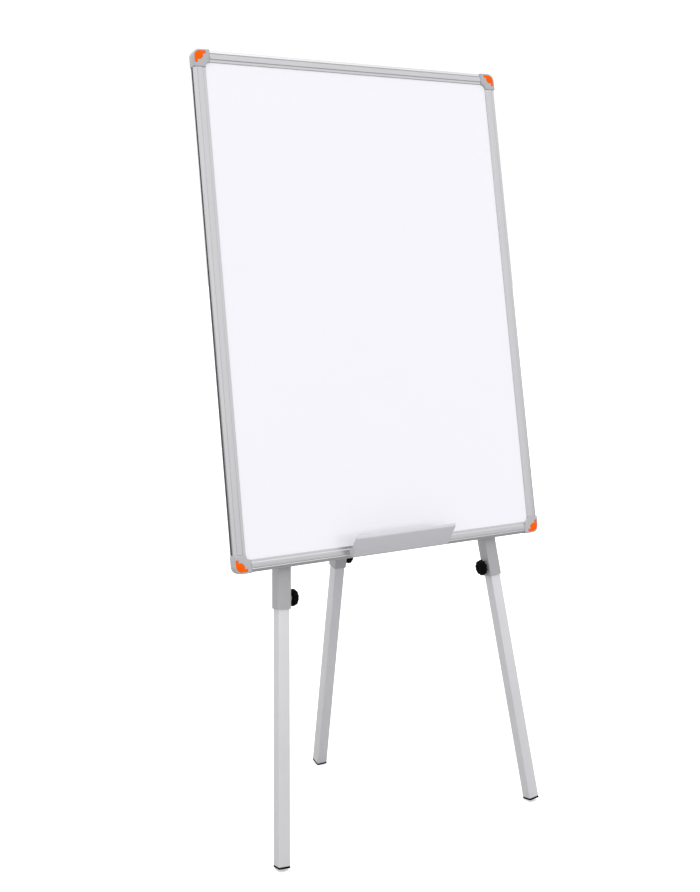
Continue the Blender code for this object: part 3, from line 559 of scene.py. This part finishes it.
def rail(name, node, half, inward, along, corner, finish, slot_shade_finish, axis):
    place = Matrix.Identity(4)
    for row in range(3):
        place[row][0], place[row][1] = inward[row], (0, 1, 0)[row]
        place[row][2], place[row][3] = along[row], corner[row]
    bm = prism(rail_outline, -half, half, 0.0, 0.0, [chamber])
    # mark the slot's floor and walls for the dark finish that paints shade into the slot
    slot_shade_layer = bm.faces.layers.int.new("slot")
    for face in bm.faces:
        c = face.calc_center_median()
        if abs(face.normal.z) < 0.5 and all(in_slot(v.co.x, v.co.y) for v in face.verts):
            face[slot_shade_layer] = 1
    bm.transform(place)
    obj = place_object(name, bm, BOARD)
    marks = [d.value for d in obj.data.attributes["slot"].data]
    settle(obj, finish, node, 28)
    # the marked slot faces take the dark finish, painted shade in the slot
    obj.data.materials.append(slot_shade_finish)
    for polygon, mark in zip(obj.data.polygons, marks):
        polygon.material_index = mark
    obj.data.attributes.remove(obj.data.attributes["slot"])
    return obj


rail("rail_top", "frame_top", rail_half_x, (0, 0, -1), (1, 0, 0), (0, 0, BOARD_H / 2),
     M["rail_x"], M["slot_painted_shade_x"], "X")
rail("rail_bottom", "frame_bottom", rail_half_x, (0, 0, 1), (-1, 0, 0), (0, 0, -BOARD_H / 2),
     M["rail_x"], M["slot_painted_shade_x"], "X")
rail("rail_left", "frame_left", rail_half_z, (1, 0, 0), (0, 0, 1), (-BOARD_W / 2, 0, 0),
     M["rail_z"], M["slot_painted_shade_z"], "Z")
rail("rail_right", "frame_right", rail_half_z, (-1, 0, 0), (0, 0, -1), (BOARD_W / 2, 0, 0),
     M["rail_z"], M["slot_painted_shade_z"], "Z")

# --------------------------------------------------- corner caps and inlays
cap_width = RAIL_W + CAP_PROUD
cap_outline = (arc(CAP_R_OUT, CAP_R_OUT, CAP_R_OUT, 180, 270, 18)
               + fillet([(CAP_R_OUT, 0), (CAP_ARM, 0.0), (CAP_ARM, cap_width),
                         (cap_width + CAP_R_IN, cap_width)], [0, 0.8, 0.8, 0], 3, False)[1:-1]
               + arc(cap_width + CAP_R_IN, cap_width + CAP_R_IN, CAP_R_IN, 270, 180, 12)
               + fillet([(cap_width, cap_width + CAP_R_IN), (cap_width, CAP_ARM),
                         (0.0, CAP_ARM), (0.0, CAP_R_OUT)], [0, 0.8, 0.8, 0], 3, False)[1:-1])
inlay_step = (INLAY_LEG - INLAY_ARM) / 3


def inlay_outline(grow, steps=14):
    e = INLAY_EDGE - grow
    far, arm = INLAY_EDGE + INLAY_LEG + grow, INLAY_EDGE + INLAY_ARM + grow
    r = CAP_R_OUT - INLAY_EDGE + grow
    s = inlay_step
    stairs = [(far, e), (far, arm), (far - s, arm), (far - s, arm + s), (arm + s, arm + s),
              (arm + s, far - s), (arm, far - s), (arm, far), (e, far)]
    stairs = [(far, e), (far, arm), (far - s, arm), (far - s, arm + s),
              (arm + s, far - s), (arm, far - s), (arm, far), (e, far)]
    return arc(e + r, e + r, r, 180, 270, steps) + stairs


def corner(where, sx, sz):
    origin = Vector((sx * (BOARD_W / 2 + CAP_PROUD), 0, sz * (BOARD_H / 2 + CAP_PROUD)))
    place = Matrix(((-sx, 0, 0, origin.x), (0, 0, 1, 0), (0, -sz, 0, origin.z), (0, 0, 0, 1)))
    front, back = -CAP_PROUD, RAIL_T + CAP_PROUD
    bm = bmesh.new()
    levels = end_steps(front, 1.5, -1, 5)[::-1] + end_steps(back, 0.9, 1, 3)
    shell = loft(bm, [[(x, y, z) for x, y in inset(cap_outline, d)] for z, d in levels])
    recess = inlay_outline(GAP)
    well = loft(bm, [[(x, y, z) for x, y in recess] for z in (front, front + INLAY_RECESS)])
    fill(bm, [shell[0], well[0]])
    fill(bm, [well[1]])
    fill(bm, [shell[-1]])
    bm.transform(place)
    cap = place_object("cap_" + where, bm, BOARD)

    def local(lo, hi):
        a, b = place @ Vector(lo), place @ Vector(hi)
        return ([min(p) for p in zip(a, b)], [max(p) for p in zip(a, b)])

    groove = GROOVE_U + CAP_PROUD
    boolean(cap, box_bm(*local((groove, groove, GROOVE_Y0), (60, 60, GROOVE_Y1))), "DIFFERENCE")
    for swap in (False, True):
        lo = [CAP_ARM - 6, CAP_PROUD + CHAMBER_OUT + 0.6, 4.2]
        hi = [CAP_ARM + TONGUE, CAP_PROUD + CHAMBER_IN - 0.6, RAIL_T - 2.0 - 0.6]
        if swap:
            lo[0], lo[1], hi[0], hi[1] = lo[1], lo[0], hi[1], hi[0]
        boolean(cap, box_bm(*local(lo, hi)), "UNION")
    settle(cap, M["cap"], "corner_cap_" + where, 32)
    insert = prism(fillet(inlay_outline(0.0), [0] * 15 + [0.5] * 8, 3), front - 0.15,
                   front + INLAY_RECESS - GAP, 0.3, 0.0)
    insert.transform(place)
    settle(place_object("inlay_" + where, insert, BOARD), M["inlay"],
           "corner_inlay_" + where, 32)


for where, sx, sz in (("bottom_left", -1, -1), ("bottom_right", 1, -1),
                      ("top_left", -1, 1), ("top_right", 1, 1)):
    corner(where, sx, sz)

# --------------------------------------------------------------- the pen tray
# One folded sheet drawn as its middle surface, bent with real radii, then
# thickened: flange, floor, leaning front and upright lip, and an end gusset.
half = TRAY_SHEET / 2
tray_line = [(-GAP - half, TRAY_FLANGE_Z), (-GAP - half, TRAY_FLOOR_Z + half),
             (TRAY_FLOOR_Y + half, TRAY_FLOOR_Z + half), (TRAY_LIP_Y + half, TRAY_BEND_Z),
             (TRAY_LIP_Y + half, TRAY_TOP_Z)]


def tray_half_width(z):
    t = (z - (TRAY_FLOOR_Z + half)) / (TRAY_BEND_Z - TRAY_FLOOR_Z - half)
    return (TRAY_W_BOTTOM + (TRAY_W_TOP - TRAY_W_BOTTOM) * min(max(t, 0.0), 1.0)) / 2 - half


bm = bmesh.new()
rows = [[bm.verts.new((side * (TRAY_W_BOTTOM / 2 - half if i < 3 else TRAY_W_TOP / 2 - half), y, z))
         for i, (y, z) in enumerate(tray_line)] for side in (-1, 1)]
folds = []
for i in range(len(tray_line) - 1):
    bm.faces.new((rows[0][i], rows[1][i], rows[1][i + 1], rows[0][i + 1]))
for row in rows:
    bm.faces.new((row[1], row[2], row[3], row[4]))
bm.edges.ensure_lookup_table()
bmesh.ops.recalc_face_normals(bm, faces=bm.faces)
folds = [e for e in bm.edges if len(e.link_faces) == 2]
bmesh.ops.bevel(bm, geom=folds, offset=1.5, offset_type="OFFSET", segments=5, profile=0.5,
                affect="EDGES", clamp_overlap=True)
tray = place_object("pen_tray_sheet", bm, BOARD)
sheet = tray.modifiers.new("sheet", "SOLIDIFY")
sheet.thickness, sheet.offset = TRAY_SHEET * MM, 0.0
sheet.use_even_offset = True
bpy.context.view_layer.update()
solid_mesh = bpy.data.meshes.new_from_object(
    tray.evaluated_get(bpy.context.evaluated_depsgraph_get()))
tray.modifiers.remove(sheet)
tray.data = solid_mesh
for x in (-TRAY_SCREW_X, TRAY_SCREW_X):
    boolean(tray, rod_bm((x, -4, TRAY_SCREW_Z), 8, 2.4, "Y", 24), "DIFFERENCE")
settle(tray, M["tray"], "pen_tray", 30, 0.25, 2, 50)


# ------------------------------------------------------------------ fasteners
def pan_screw(head_r, head_h, shank_r, shank_len):
    """Domed head at z 0..head_h, its shank down -Z; the cross recess is not cut here."""
    dome = [(0, head_h)]
    dome += [(head_r * math.sin(a) * 0.98, head_h * (0.45 + 0.55 * math.cos(a)))
             for a in (math.radians(t) for t in (12, 26, 40, 54, 68, 80, 88))]
    dome += [(head_r, head_h * 0.30), (head_r, 0.15), (head_r - 0.15, 0.0), (shank_r, 0.0)]
    z = -0.4
    pitch = 1.4
    while z > -shank_len + 1.0:
        dome += [(shank_r - 0.02, z), (shank_r - 0.32, z - pitch / 2)]
        z -= pitch
    dome += [(shank_r - 0.4, -shank_len + 0.5), (shank_r * 0.4, -shank_len), (0, -shank_len)]
    return turned(dome, 28)


def cross_cut(obj, size, depth, top):
    for turn in (0, math.pi / 2):
        blade = bmesh.new()
        rings = []
        for k, z in ((0.55, top - depth), (1.0, top + 1.0)):
            w, t = size * k, size * 0.17
            rings.append([(-w, -t, z), (w, -t, z), (w, t, z), (-w, t, z)])
        ends = loft(blade, rings)
        blade.faces.new(ends[0])
        blade.faces.new(ends[1])
        blade.transform(Matrix.Rotation(turn + 0.3, 4, "Z"))
        boolean(obj, blade, "DIFFERENCE")


def hex_head(r, height, washer=0.0):
    """Hexagon head from z=0 to z=height, its lower end edge rounded; the corners are not chamfered
    here.
    """
    outline = arc(0, 0, r, 0, 300, 5)
    bm = prism(outline, 0, height, 0.25, 0.0)
    return bm


# screws through the tray's flange: heads face the user, axis along -Y
for side, label in ((-1, "left"), (1, "right")):
    head_y = -GAP - TRAY_SHEET - GAP
    place = BOARD @ Matrix.Translation((side * TRAY_SCREW_X, head_y, TRAY_SCREW_Z)) \
        @ Matrix.Rotation(math.pi / 2, 4, "X")
    screw = place_object("tray_screw_head_" + label, pan_screw(4.0, 2.2, 2.0, 9.0), place)
    cross_cut(screw, 2.1, 1.3, 2.2)
    settle(screw, M["zinc"], "tray_screw_" + label, 35)


# ---------------------------------------------------------- sleeves and plugs
def clamp_frame(leg, side, z):
    return leg @ Matrix.Translation((0, 0, z)) @ Matrix.Rotation(0 if side > 0 else math.pi, 4, "Z")


def in_frame(clamp, leg):
    """Where the clamp's X axis stands in the leg's own frame."""
    return leg.inverted() @ clamp @ AXIS_TURN["X"]


def upper_leg(name, node, leg, z0, z1, side, knob_z, through=()):
    outer = rounded_rect(SLEEVE_W, SLEEVE_D, SLEEVE_R, 6)
    inner = rounded_rect(SLEEVE_W - 2 * SLEEVE_WALL, SLEEVE_D - 2 * SLEEVE_WALL,
                         SLEEVE_R - SLEEVE_WALL, 6)
    obj = place_object(name, tube(outer, inner, z0, z1), leg)
    clamp = in_frame(clamp_frame(leg, side, knob_z), leg)
    # boss with a small weld fillet round its foot
    x0 = SLEEVE_W / 2 - 0.6
    boss = turned([(0, x0), (BOSS_R + 1.3, x0), (BOSS_R + 1.3, SLEEVE_W / 2 + 0.05),
                   (BOSS_R + 0.55, SLEEVE_W / 2 + 0.35), (BOSS_R, SLEEVE_W / 2 + 0.95),
                   (BOSS_R, BOSS_X1 - 0.5), (BOSS_R - 0.15, BOSS_X1 - 0.15),
                   (BOSS_R - 0.5, BOSS_X1), (0, BOSS_X1)], 40)
    boolean(obj, boss, "UNION", clamp)
    boolean(obj, rod_bm((0, 0, 8), 20, STUD_R + GAP, "Z", 32), "DIFFERENCE", clamp)
    for start, length, radius, axis in through:
        boolean(obj, rod_bm(start, length, radius, axis, 32), "DIFFERENCE")
    return settle(obj, M["sleeve"], node, 32)


def top_plug(name, node, leg, z, stem_z0):
    outline = rounded_rect(SLEEVE_W, SLEEVE_D, SLEEVE_R, 6)
    stem = rounded_rect(SLEEVE_W - 2 * SLEEVE_WALL - 2 * GAP, SLEEVE_D - 2 * SLEEVE_WALL - 2 * GAP,
                        1.0, 6)
    top = z + PLUG_FLANGE
    bm = bmesh.new()
    rings = [[(x, y, h) for x, y in inset(stem, 0.5)] for h in (stem_z0,)]
    rings += [[(x, y, h) for x, y in stem] for h in (stem_z0 + 0.7, z + GAP)]
    rings += [[(x, y, h) for x, y in inset(outline, d)] for h, d in
              [(z + GAP, 0.25), (z + GAP + 0.15, 0.0)] + end_steps(top, 1.1, 1, 5)]
    shell = loft(bm, rings)
    fill(bm, [shell[0]])
    fill(bm, [shell[-1]])
    return settle(place_object(name, bm, leg), M["black"], node, 35)


def lower_leg(label, leg, foot_z, length):
    outer = rounded_rect(LOWER_W, LOWER_D, LOWER_R, 6)
    inner = rounded_rect(LOWER_W - 2 * LOWER_WALL, LOWER_D - 2 * LOWER_WALL, 0.5, 6)
    obj = place_object("leg_tube_" + label,
                       tube(outer, inner, foot_z + FOOT_FLANGE + GAP, foot_z + length, 0.25), leg)
    settle(obj, M["leg"], "lower_leg_" + label, 32)
    flange = rounded_rect(FOOT_W, FOOT_D, 1.4, 6)
    stem = rounded_rect(LOWER_W - 2 * LOWER_WALL - 2 * GAP, LOWER_D - 2 * LOWER_WALL - 2 * GAP,
                        0.8, 6)
    top = foot_z + FOOT_FLANGE
    rings = [[(x, y, z) for x, y in inset(flange, d)] for z, d in
             end_steps(foot_z, 0.5, -1, 3)[::-1] + end_steps(top, 0.6, 1, 4)]
    rings += [[(x, y, z) for x, y in inset(stem, d)] for z, d in
              ((top, 0.0), (top + FOOT_PLUG - 1.0, 0.0), (top + FOOT_PLUG, 0.8))]
    bm = bmesh.new()
    shell = loft(bm, rings)
    fill(bm, [shell[0]])
    fill(bm, [shell[-1]])
    settle(place_object("foot_" + label, bm, leg), M["black"], "foot_cap_" + label,
           35)


# Star knob, drawn about Z with its back at z = KNOB_X0: scalloped rim, rounded
# face with a shallow dish, and a recess behind for the boss.
def star(r, z, a):
    if r < 9.0:
        return r
    share = min((r - 9.0) / (KNOB_R - 9.0), 1.0)
    return r - KNOB_LOBE * share * (0.5 - 0.5 * math.cos(KNOB_LOBES * a)) ** 0.8


def knob(label, leg, side, z):
    R = KNOB_R
    x0, x1 = KNOB_X0, KNOB_X1
    profile = [(0, STUD_X1 + GAP), (STUD_R + GAP, STUD_X1 + GAP), (STUD_R + GAP, BOSS_X1 + 0.5),
               (BOSS_R + 0.6, BOSS_X1 + 0.5), (BOSS_R + 0.6, x0 + 0.3), (BOSS_R + 0.9, x0),
               (R - 3.2, x0), (R - 1.6, x0 + 0.25), (R - 0.5, x0 + 0.9), (R, x0 + 2.1),
               (R, x0 + 6.4), (R - 0.25, x0 + 7.8), (R - 1.0, x0 + 9.4), (R - 2.3, x0 + 10.8),
               (R - 4.2, x0 + 12.0), (R - 6.2, x0 + 12.7), (R - 7.9, x1 - 0.1), (R - 9.2, x1),
               (5.6, x1 - 0.25), (5.0, x1 - 0.7), (4.2, x1 - 0.85), (2.2, x1 - 0.9),
               (0, x1 - 0.9)]
    place = clamp_frame(leg, side, z) @ AXIS_TURN["X"]
    obj = place_object("star_knob_" + label, turned(profile, 120, star), place)
    settle(obj, M["black"], "clamp_knob_" + label, 40)


def strap(name, node, leg, z):
    foot_y0 = RAIL_T + GAP - LEG_Y
    foot_y1 = foot_y0 + STRAP_SHEET
    inner, back = SLEEVE_W / 2 + GAP, SLEEVE_D / 2 + GAP
    outer = inner + STRAP_SHEET
    line = [(-outer - STRAP_FOOT, foot_y0), (-inner, foot_y0), (-inner, back),
            (inner, back), (inner, foot_y0), (outer + STRAP_FOOT, foot_y0),
            (outer + STRAP_FOOT, foot_y1), (outer, foot_y1),
            (outer, back + STRAP_SHEET), (-outer, back + STRAP_SHEET),
            (-outer, foot_y1), (-outer - STRAP_FOOT, foot_y1)]
    radii = [0.3, 0.0, 2.2, 2.2, 0.0, 0.3, 0.3, 1.6, 4.0, 4.0, 1.6, 0.3]
    obj = place_object(name, prism(fillet(line, radii, 5), z - STRAP_W / 2, z + STRAP_W / 2,
                                   0.3, 0.3, (), 2), leg)
    for x in (-STRAP_SCREW_X, STRAP_SCREW_X):
        boolean(obj, rod_bm((x, foot_y0 - 2, z), 8, 2.3, "Y", 24), "DIFFERENCE")
    settle(obj, M["zinc"], node, 32)
    return foot_y1 + GAP


strap_heights = {"bottom": STRAP_U / math.cos(splay), "top": (BOARD_H - STRAP_U) / math.cos(splay)}
bar_on_leg = (pin_z + BOARD_H / 2) / math.cos(splay)
for label, leg, side in (("left", LEFT, 1), ("right", RIGHT, -1)):
    upper_leg("sleeve_tube_" + label, "front_sleeve_" + label, leg, -SLEEVE_BELOW, SLEEVE_ABOVE,
              side, -KNOB_T, [((0, SLEEVE_D / 2 - 4, bar_on_leg), 6, 3.3, "Y")])
    top_plug("plug_" + label, "sleeve_plug_" + label, leg, SLEEVE_ABOVE, SLEEVE_ABOVE - PLUG_LEN)
    lower_leg(label, leg, front_foot_z, LOWER_OUT + LOWER_IN)
    knob(label, leg, side, -KNOB_T)
    for where, z in strap_heights.items():
        head_y = strap("leg_strap_%s_%s" % (where, label), "strap_%s_%s" % (where, label), leg, z)
        for which, x in (("inner", side * STRAP_SCREW_X), ("outer", -side * STRAP_SCREW_X)):
            place = leg @ Matrix.Translation((x, head_y, z)) @ Matrix.Rotation(-math.pi / 2, 4, "X")
            screw = place_object("screw_%s_%s_%s" % (where, label, which),
                                 pan_screw(3.8, 2.2, 2.0, 11.0), place)
            cross_cut(screw, 2.0, 1.3, 2.2)
            settle(screw, M["zinc"], "strap_screw_%s_%s_%s" % (where, label, which),
                   35)

upper_leg("sleeve_tube_rear", "rear_sleeve", REAR, rear_sleeve_z0, REAR_ABOVE_PIN, 1,
          rear_sleeve_z0 + SLEEVE_BELOW - KNOB_T, [((-30, 0, 0), 60, PIN_R + GAP, "X")])
top_plug("plug_rear", "sleeve_plug_rear", REAR, REAR_ABOVE_PIN, PIN_R + 1.5)
lower_leg("rear", REAR, rear_foot_z, rear_sleeve_z0 + LOWER_IN - rear_foot_z)
knob("rear", REAR, 1, rear_sleeve_z0 + SLEEVE_BELOW - KNOB_T)

# --------------------------------------------------- crossbar, bracket, bolts
bar_half = LEG_X0 - (pin_z + BOARD_H / 2) * math.tan(splay) + BAR_OVER
bolt_x = LEG_X0 - (pin_z + BOARD_H / 2) * math.tan(splay)
web0, web1, flange_y, h = bar_web_y0, bar_web_y1, bar_web_y0 + BAR_FLANGE, BAR_H / 2
channel = [(web0, -h), (flange_y, -h), (flange_y, -h + BAR_SHEET), (web1, -h + BAR_SHEET),
           (web1, h - BAR_SHEET), (flange_y, h - BAR_SHEET), (flange_y, h), (web0, h)]
along_x = Matrix(((0, 0, 1, 0), (1, 0, 0, 0), (0, 1, 0, pin_z), (0, 0, 0, 1)))
bm = prism(fillet(channel, [2.6, 0.3, 0.3, 1.0, 1.0, 0.3, 0.3, 2.6], 5), -bar_half, bar_half,
           0.3, 0.3, (), 2)
bm.transform(along_x)
bar = place_object("rear_crossbar", bm, BOARD)
for x, r in ((-bolt_x, 3.3), (bolt_x, 3.3), (-BRACKET_HALF + 8, 2.7), (BRACKET_HALF - 8, 2.7)):
    boolean(bar, rod_bm((x, web0 - 2, pin_z), 6, r, "Y", 32), "DIFFERENCE")
settle(bar, M["sleeve"], "crossbar", 32)


def bolt(name, node, place, r, head, shank_r, shank):
    bm = hex_head(r, head)
    obj = place_object(name, bm, place)
    # cone that takes the corners off the top of the hexagon
    top = turned([(0, -1), (r + 3, -1), (r + 3, head - 2.2), (r * 0.90, head + 0.001),
                  (0, head + 0.001)], 48)
    boolean(obj, top, "INTERSECT")
    boolean(obj, turned([(0, 0.6), (shank_r, 0.5), (shank_r, -shank + 0.6),
                         (shank_r - 0.6, -shank), (0, -shank)], 32), "UNION")
    return settle(obj, M["zinc"], node, 30)


for x, label in ((-bolt_x, "left"), (bolt_x, "right")):
    bolt("bar_bolt_" + label, "crossbar_bolt_" + label,
         BOARD @ Matrix.Translation((x, web1 + GAP, pin_z)) @ Matrix.Rotation(-math.pi / 2, 4, "X"),
         5.8, 4.0, 3.0, 10.0 + GAP)

ear_in = SLEEVE_W / 2 + EAR_GAP
ear_out = ear_in + BRACKET_SHEET
plate = rounded_rect(2 * BRACKET_HALF, EAR_H, 4.0, 6)
bm = prism(plate, -base_y1, -base_y0, 0.3, 0.3)
bm.transform(Matrix.Translation((0, 0, pin_z)) @ Matrix.Rotation(math.pi / 2, 4, "X"))
bracket = place_object("hinge_bracket_plate", bm, BOARD)
for side in (-1, 1):
    ear_line = ([(base_y0 + 0.6, -EAR_H / 2 + 0.01)] + arc(pin_y, 0, EAR_OVER, -90, 90, 24)
                + [(base_y0 + 0.6, EAR_H / 2 - 0.01)])
    x0, x1 = sorted((side * ear_in, side * ear_out))
    ear = prism(ear_line, x0, x1, 0.3, 0.3, (), 2)
    ear.transform(along_x)
    boolean(bracket, ear, "UNION")
boolean(bracket, rod_bm((-30, pin_y, pin_z), 60, PIN_R + GAP, "X", 40), "DIFFERENCE")
for side in (-1, 1):
    boolean(bracket, rod_bm((side * (BRACKET_HALF - 8), base_y0 - 2, pin_z), 6, 2.7, "Y", 24),
            "DIFFERENCE")
settle(bracket, M["sleeve"], "hinge_bracket", 32)
for side, label in ((-1, "left"), (1, "right")):
    x = side * (BRACKET_HALF - 8)
    length = base_y1 + GAP - (web0 - GAP)
    dome = [(0, 1.8), (1.6, 1.72), (3.0, 1.4), (4.0, 0.85), (4.5, 0.25), (4.6, 0.0), (2.4, 0.0),
            (2.4, -length), (4.2, -length), (4.0, -length - 0.5), (2.8, -length - 1.2),
            (1.2, -length - 1.55), (0, -length - 1.6)]
    obj = place_object("rivet_" + label, turned(dome, 32), BOARD
                       @ Matrix.Translation((x, base_y1 + GAP, pin_z))
                       @ Matrix.Rotation(-math.pi / 2, 4, "X"))
    settle(obj, M["zinc"], "bracket_rivet_" + label, 35)

# Hinge bolt: head outside the left ear (its axis runs -X from there), nut right.
bolt("pivot_bolt", "hinge_bolt",
     BOARD @ Matrix.Translation((-ear_out - GAP, pin_y, pin_z)) @ Matrix.Rotation(-math.pi / 2, 4, "Y"),
     7.5, 5.0, PIN_R, 2 * ear_out + GAP + 8.5)
nut = place_object("pivot_nut", prism(arc(0, 0, 7.5, 0, 300, 5), 0, 7, 0.0, 0.0), BOARD
                   @ Matrix.Translation((ear_out + GAP, pin_y, pin_z))
                   @ Matrix.Rotation(math.pi / 2, 4, "Y"))
boolean(nut, turned([(0, 0), (6.7, 0), (9.8, 1.9), (9.8, 5.1), (6.7, 7), (0, 7)], 48), "INTERSECT")
boolean(nut, rod_bm((0, 0, -2), 12, PIN_R + GAP, "Z", 32), "DIFFERENCE")
settle(nut, M["zinc"], "hinge_nut", 30)

# ------------------------------------------ CAD nodes whose own shape is right
kept = {"writing_surface": ("lacquer", "white_lacquer"), "board_core": ("core", "core_board"),
        "back_sheet": ("back", "back_sheet_metal")}
for label in ("left", "right", "rear"):
    kept["sleeve_bush_" + label] = ("black", "black_plastic")
    kept["clamp_stud_" + label] = ("zinc", "zinc_fastener")
for node, (finish, slot) in kept.items():
    obj = frame["nodes"][node]
    obj.data.materials.clear()
    obj.data.materials.append(M[finish])

# --------------------------------------------------- floor, light and camera
FLOOR_BOUNCE = 0.36
SKY, SLOPE, SLOPE_TOWARDS = 1.48, 0.16, (-0.5, -0.6, 0.35)
SOFT_BOXES = [((0.06, 0.0, 1.0), 38, 1.3)]   # direction, half angle, added strength
floor_mat = bpy.data.materials.new("studio_floor")
floor_mat.use_nodes = True
nodes, links = floor_mat.node_tree.nodes, floor_mat.node_tree.links
shade = nodes["Principled BSDF"]         # what the pieces are lit by: a mid grey floor
shade.inputs["Base Color"].default_value = (FLOOR_BOUNCE, FLOOR_BOUNCE, FLOOR_BOUNCE, 1)
shade.inputs["Roughness"].default_value = 0.9
shade.inputs["Specular IOR Level"].default_value = 0.1
pale = nodes.new("ShaderNodeBsdfPrincipled")   # what is seen: the same floor, pale
pale.inputs["Base Color"].default_value = (0.80, 0.80, 0.80, 1)
pale.inputs["Roughness"].default_value = 0.9
pale.inputs["Specular IOR Level"].default_value = 0.1
pale.inputs["Emission Color"].default_value = (1, 1, 1, 1)
pale.inputs["Emission Strength"].default_value = 0.35
seen, either = nodes.new("ShaderNodeLightPath"), nodes.new("ShaderNodeMixShader")
links.new(seen.outputs["Is Camera Ray"], either.inputs[0])
links.new(shade.outputs[0], either.inputs[1])
links.new(pale.outputs[0], either.inputs[2])
links.new(either.outputs[0], nodes["Material Output"].inputs["Surface"])
bm = bmesh.new()
bmesh.ops.create_circle(bm, cap_ends=True, radius=40000.0, segments=96)
floor = bpy.data.objects.new("studio_floor", mesh_from(bm, "studio_floor"))
floor.data.materials.append(floor_mat)
bpy.context.scene.collection.objects.link(floor)
floor.location.z = -0.0005

world = bpy.data.worlds.new("studio")
bpy.context.scene.world = world
world.use_nodes = True
tree = world.node_tree
tree.nodes.clear()


def wnode(kind, **inputs):
    n = tree.nodes.new(kind)
    for key, value in inputs.items():
        n.inputs[key.replace("_", " ")].default_value = value
    return n


coord = wnode("ShaderNodeTexCoord")


def towards(direction):
    dot = tree.nodes.new("ShaderNodeVectorMath")
    dot.operation = "DOT_PRODUCT"
    dot.inputs[1].default_value = Vector(direction).normalized()
    tree.links.new(coord.outputs["Generated"], dot.inputs[0])
    return dot.outputs["Value"]


slope = tree.nodes.new("ShaderNodeMath")
slope.operation = "MULTIPLY_ADD"
slope.inputs[1].default_value, slope.inputs[2].default_value = SLOPE, SKY
tree.links.new(towards(SLOPE_TOWARDS), slope.inputs[0])
total = slope.outputs[0]
for direction, width, strength in SOFT_BOXES:
    ramp = wnode("ShaderNodeMapRange", From_Min=math.cos(math.radians(width)), From_Max=1.0,
                 To_Min=0.0, To_Max=strength)
    ramp.interpolation_type = "SMOOTHSTEP"
    tree.links.new(towards(direction), ramp.inputs["Value"])
    add = tree.nodes.new("ShaderNodeMath")
    add.operation = "ADD"
    tree.links.new(ramp.outputs["Result"], add.inputs[0])
    tree.links.new(total, add.inputs[1])
    total = add.outputs[0]
soft = wnode("ShaderNodeBackground")
soft.inputs["Color"].default_value = (1.0, 1.0, 1.0, 1)
tree.links.new(total, soft.inputs["Strength"])
plain = wnode("ShaderNodeBackground")
plain.inputs["Color"].default_value = (1.0, 1.0, 1.0, 1)
plain.inputs["Strength"].default_value = 1.05
path = wnode("ShaderNodeLightPath")
mix = wnode("ShaderNodeMixShader")
tree.links.new(path.outputs["Is Camera Ray"], mix.inputs[0])
tree.links.new(soft.outputs[0], mix.inputs[1])
tree.links.new(plain.outputs[0], mix.inputs[2])
out = wnode("ShaderNodeOutputWorld")
tree.links.new(mix.outputs[0], out.inputs["Surface"])


view = bpy.context.scene.view_settings
view.view_transform, view.look = "Standard", "None"
view.exposure, view.gamma = 0.0, 1.0

lens = bpy.data.cameras.new("camera")
camera = bpy.data.objects.new("camera", lens)
bpy.context.scene.collection.objects.link(camera)
bpy.context.scene.camera = camera
camera.location = (-1.28396, -2.29241, 1.1526)
camera.rotation_euler = (math.radians(85.719), 0, math.radians(-31.722))
lens.lens, lens.sensor_width = 51.392, 36.0
lens.shift_x, lens.shift_y = -0.07519, -0.11211
lens.clip_start, lens.clip_end = 0.05, 200.0

worst.sort(reverse=True)
print("LARGEST BOX DIFFERENCES MM", worst[:12])
print("PIECES", len(worst), "KEPT", len(kept), "NODES", len(frame["nodes"]))
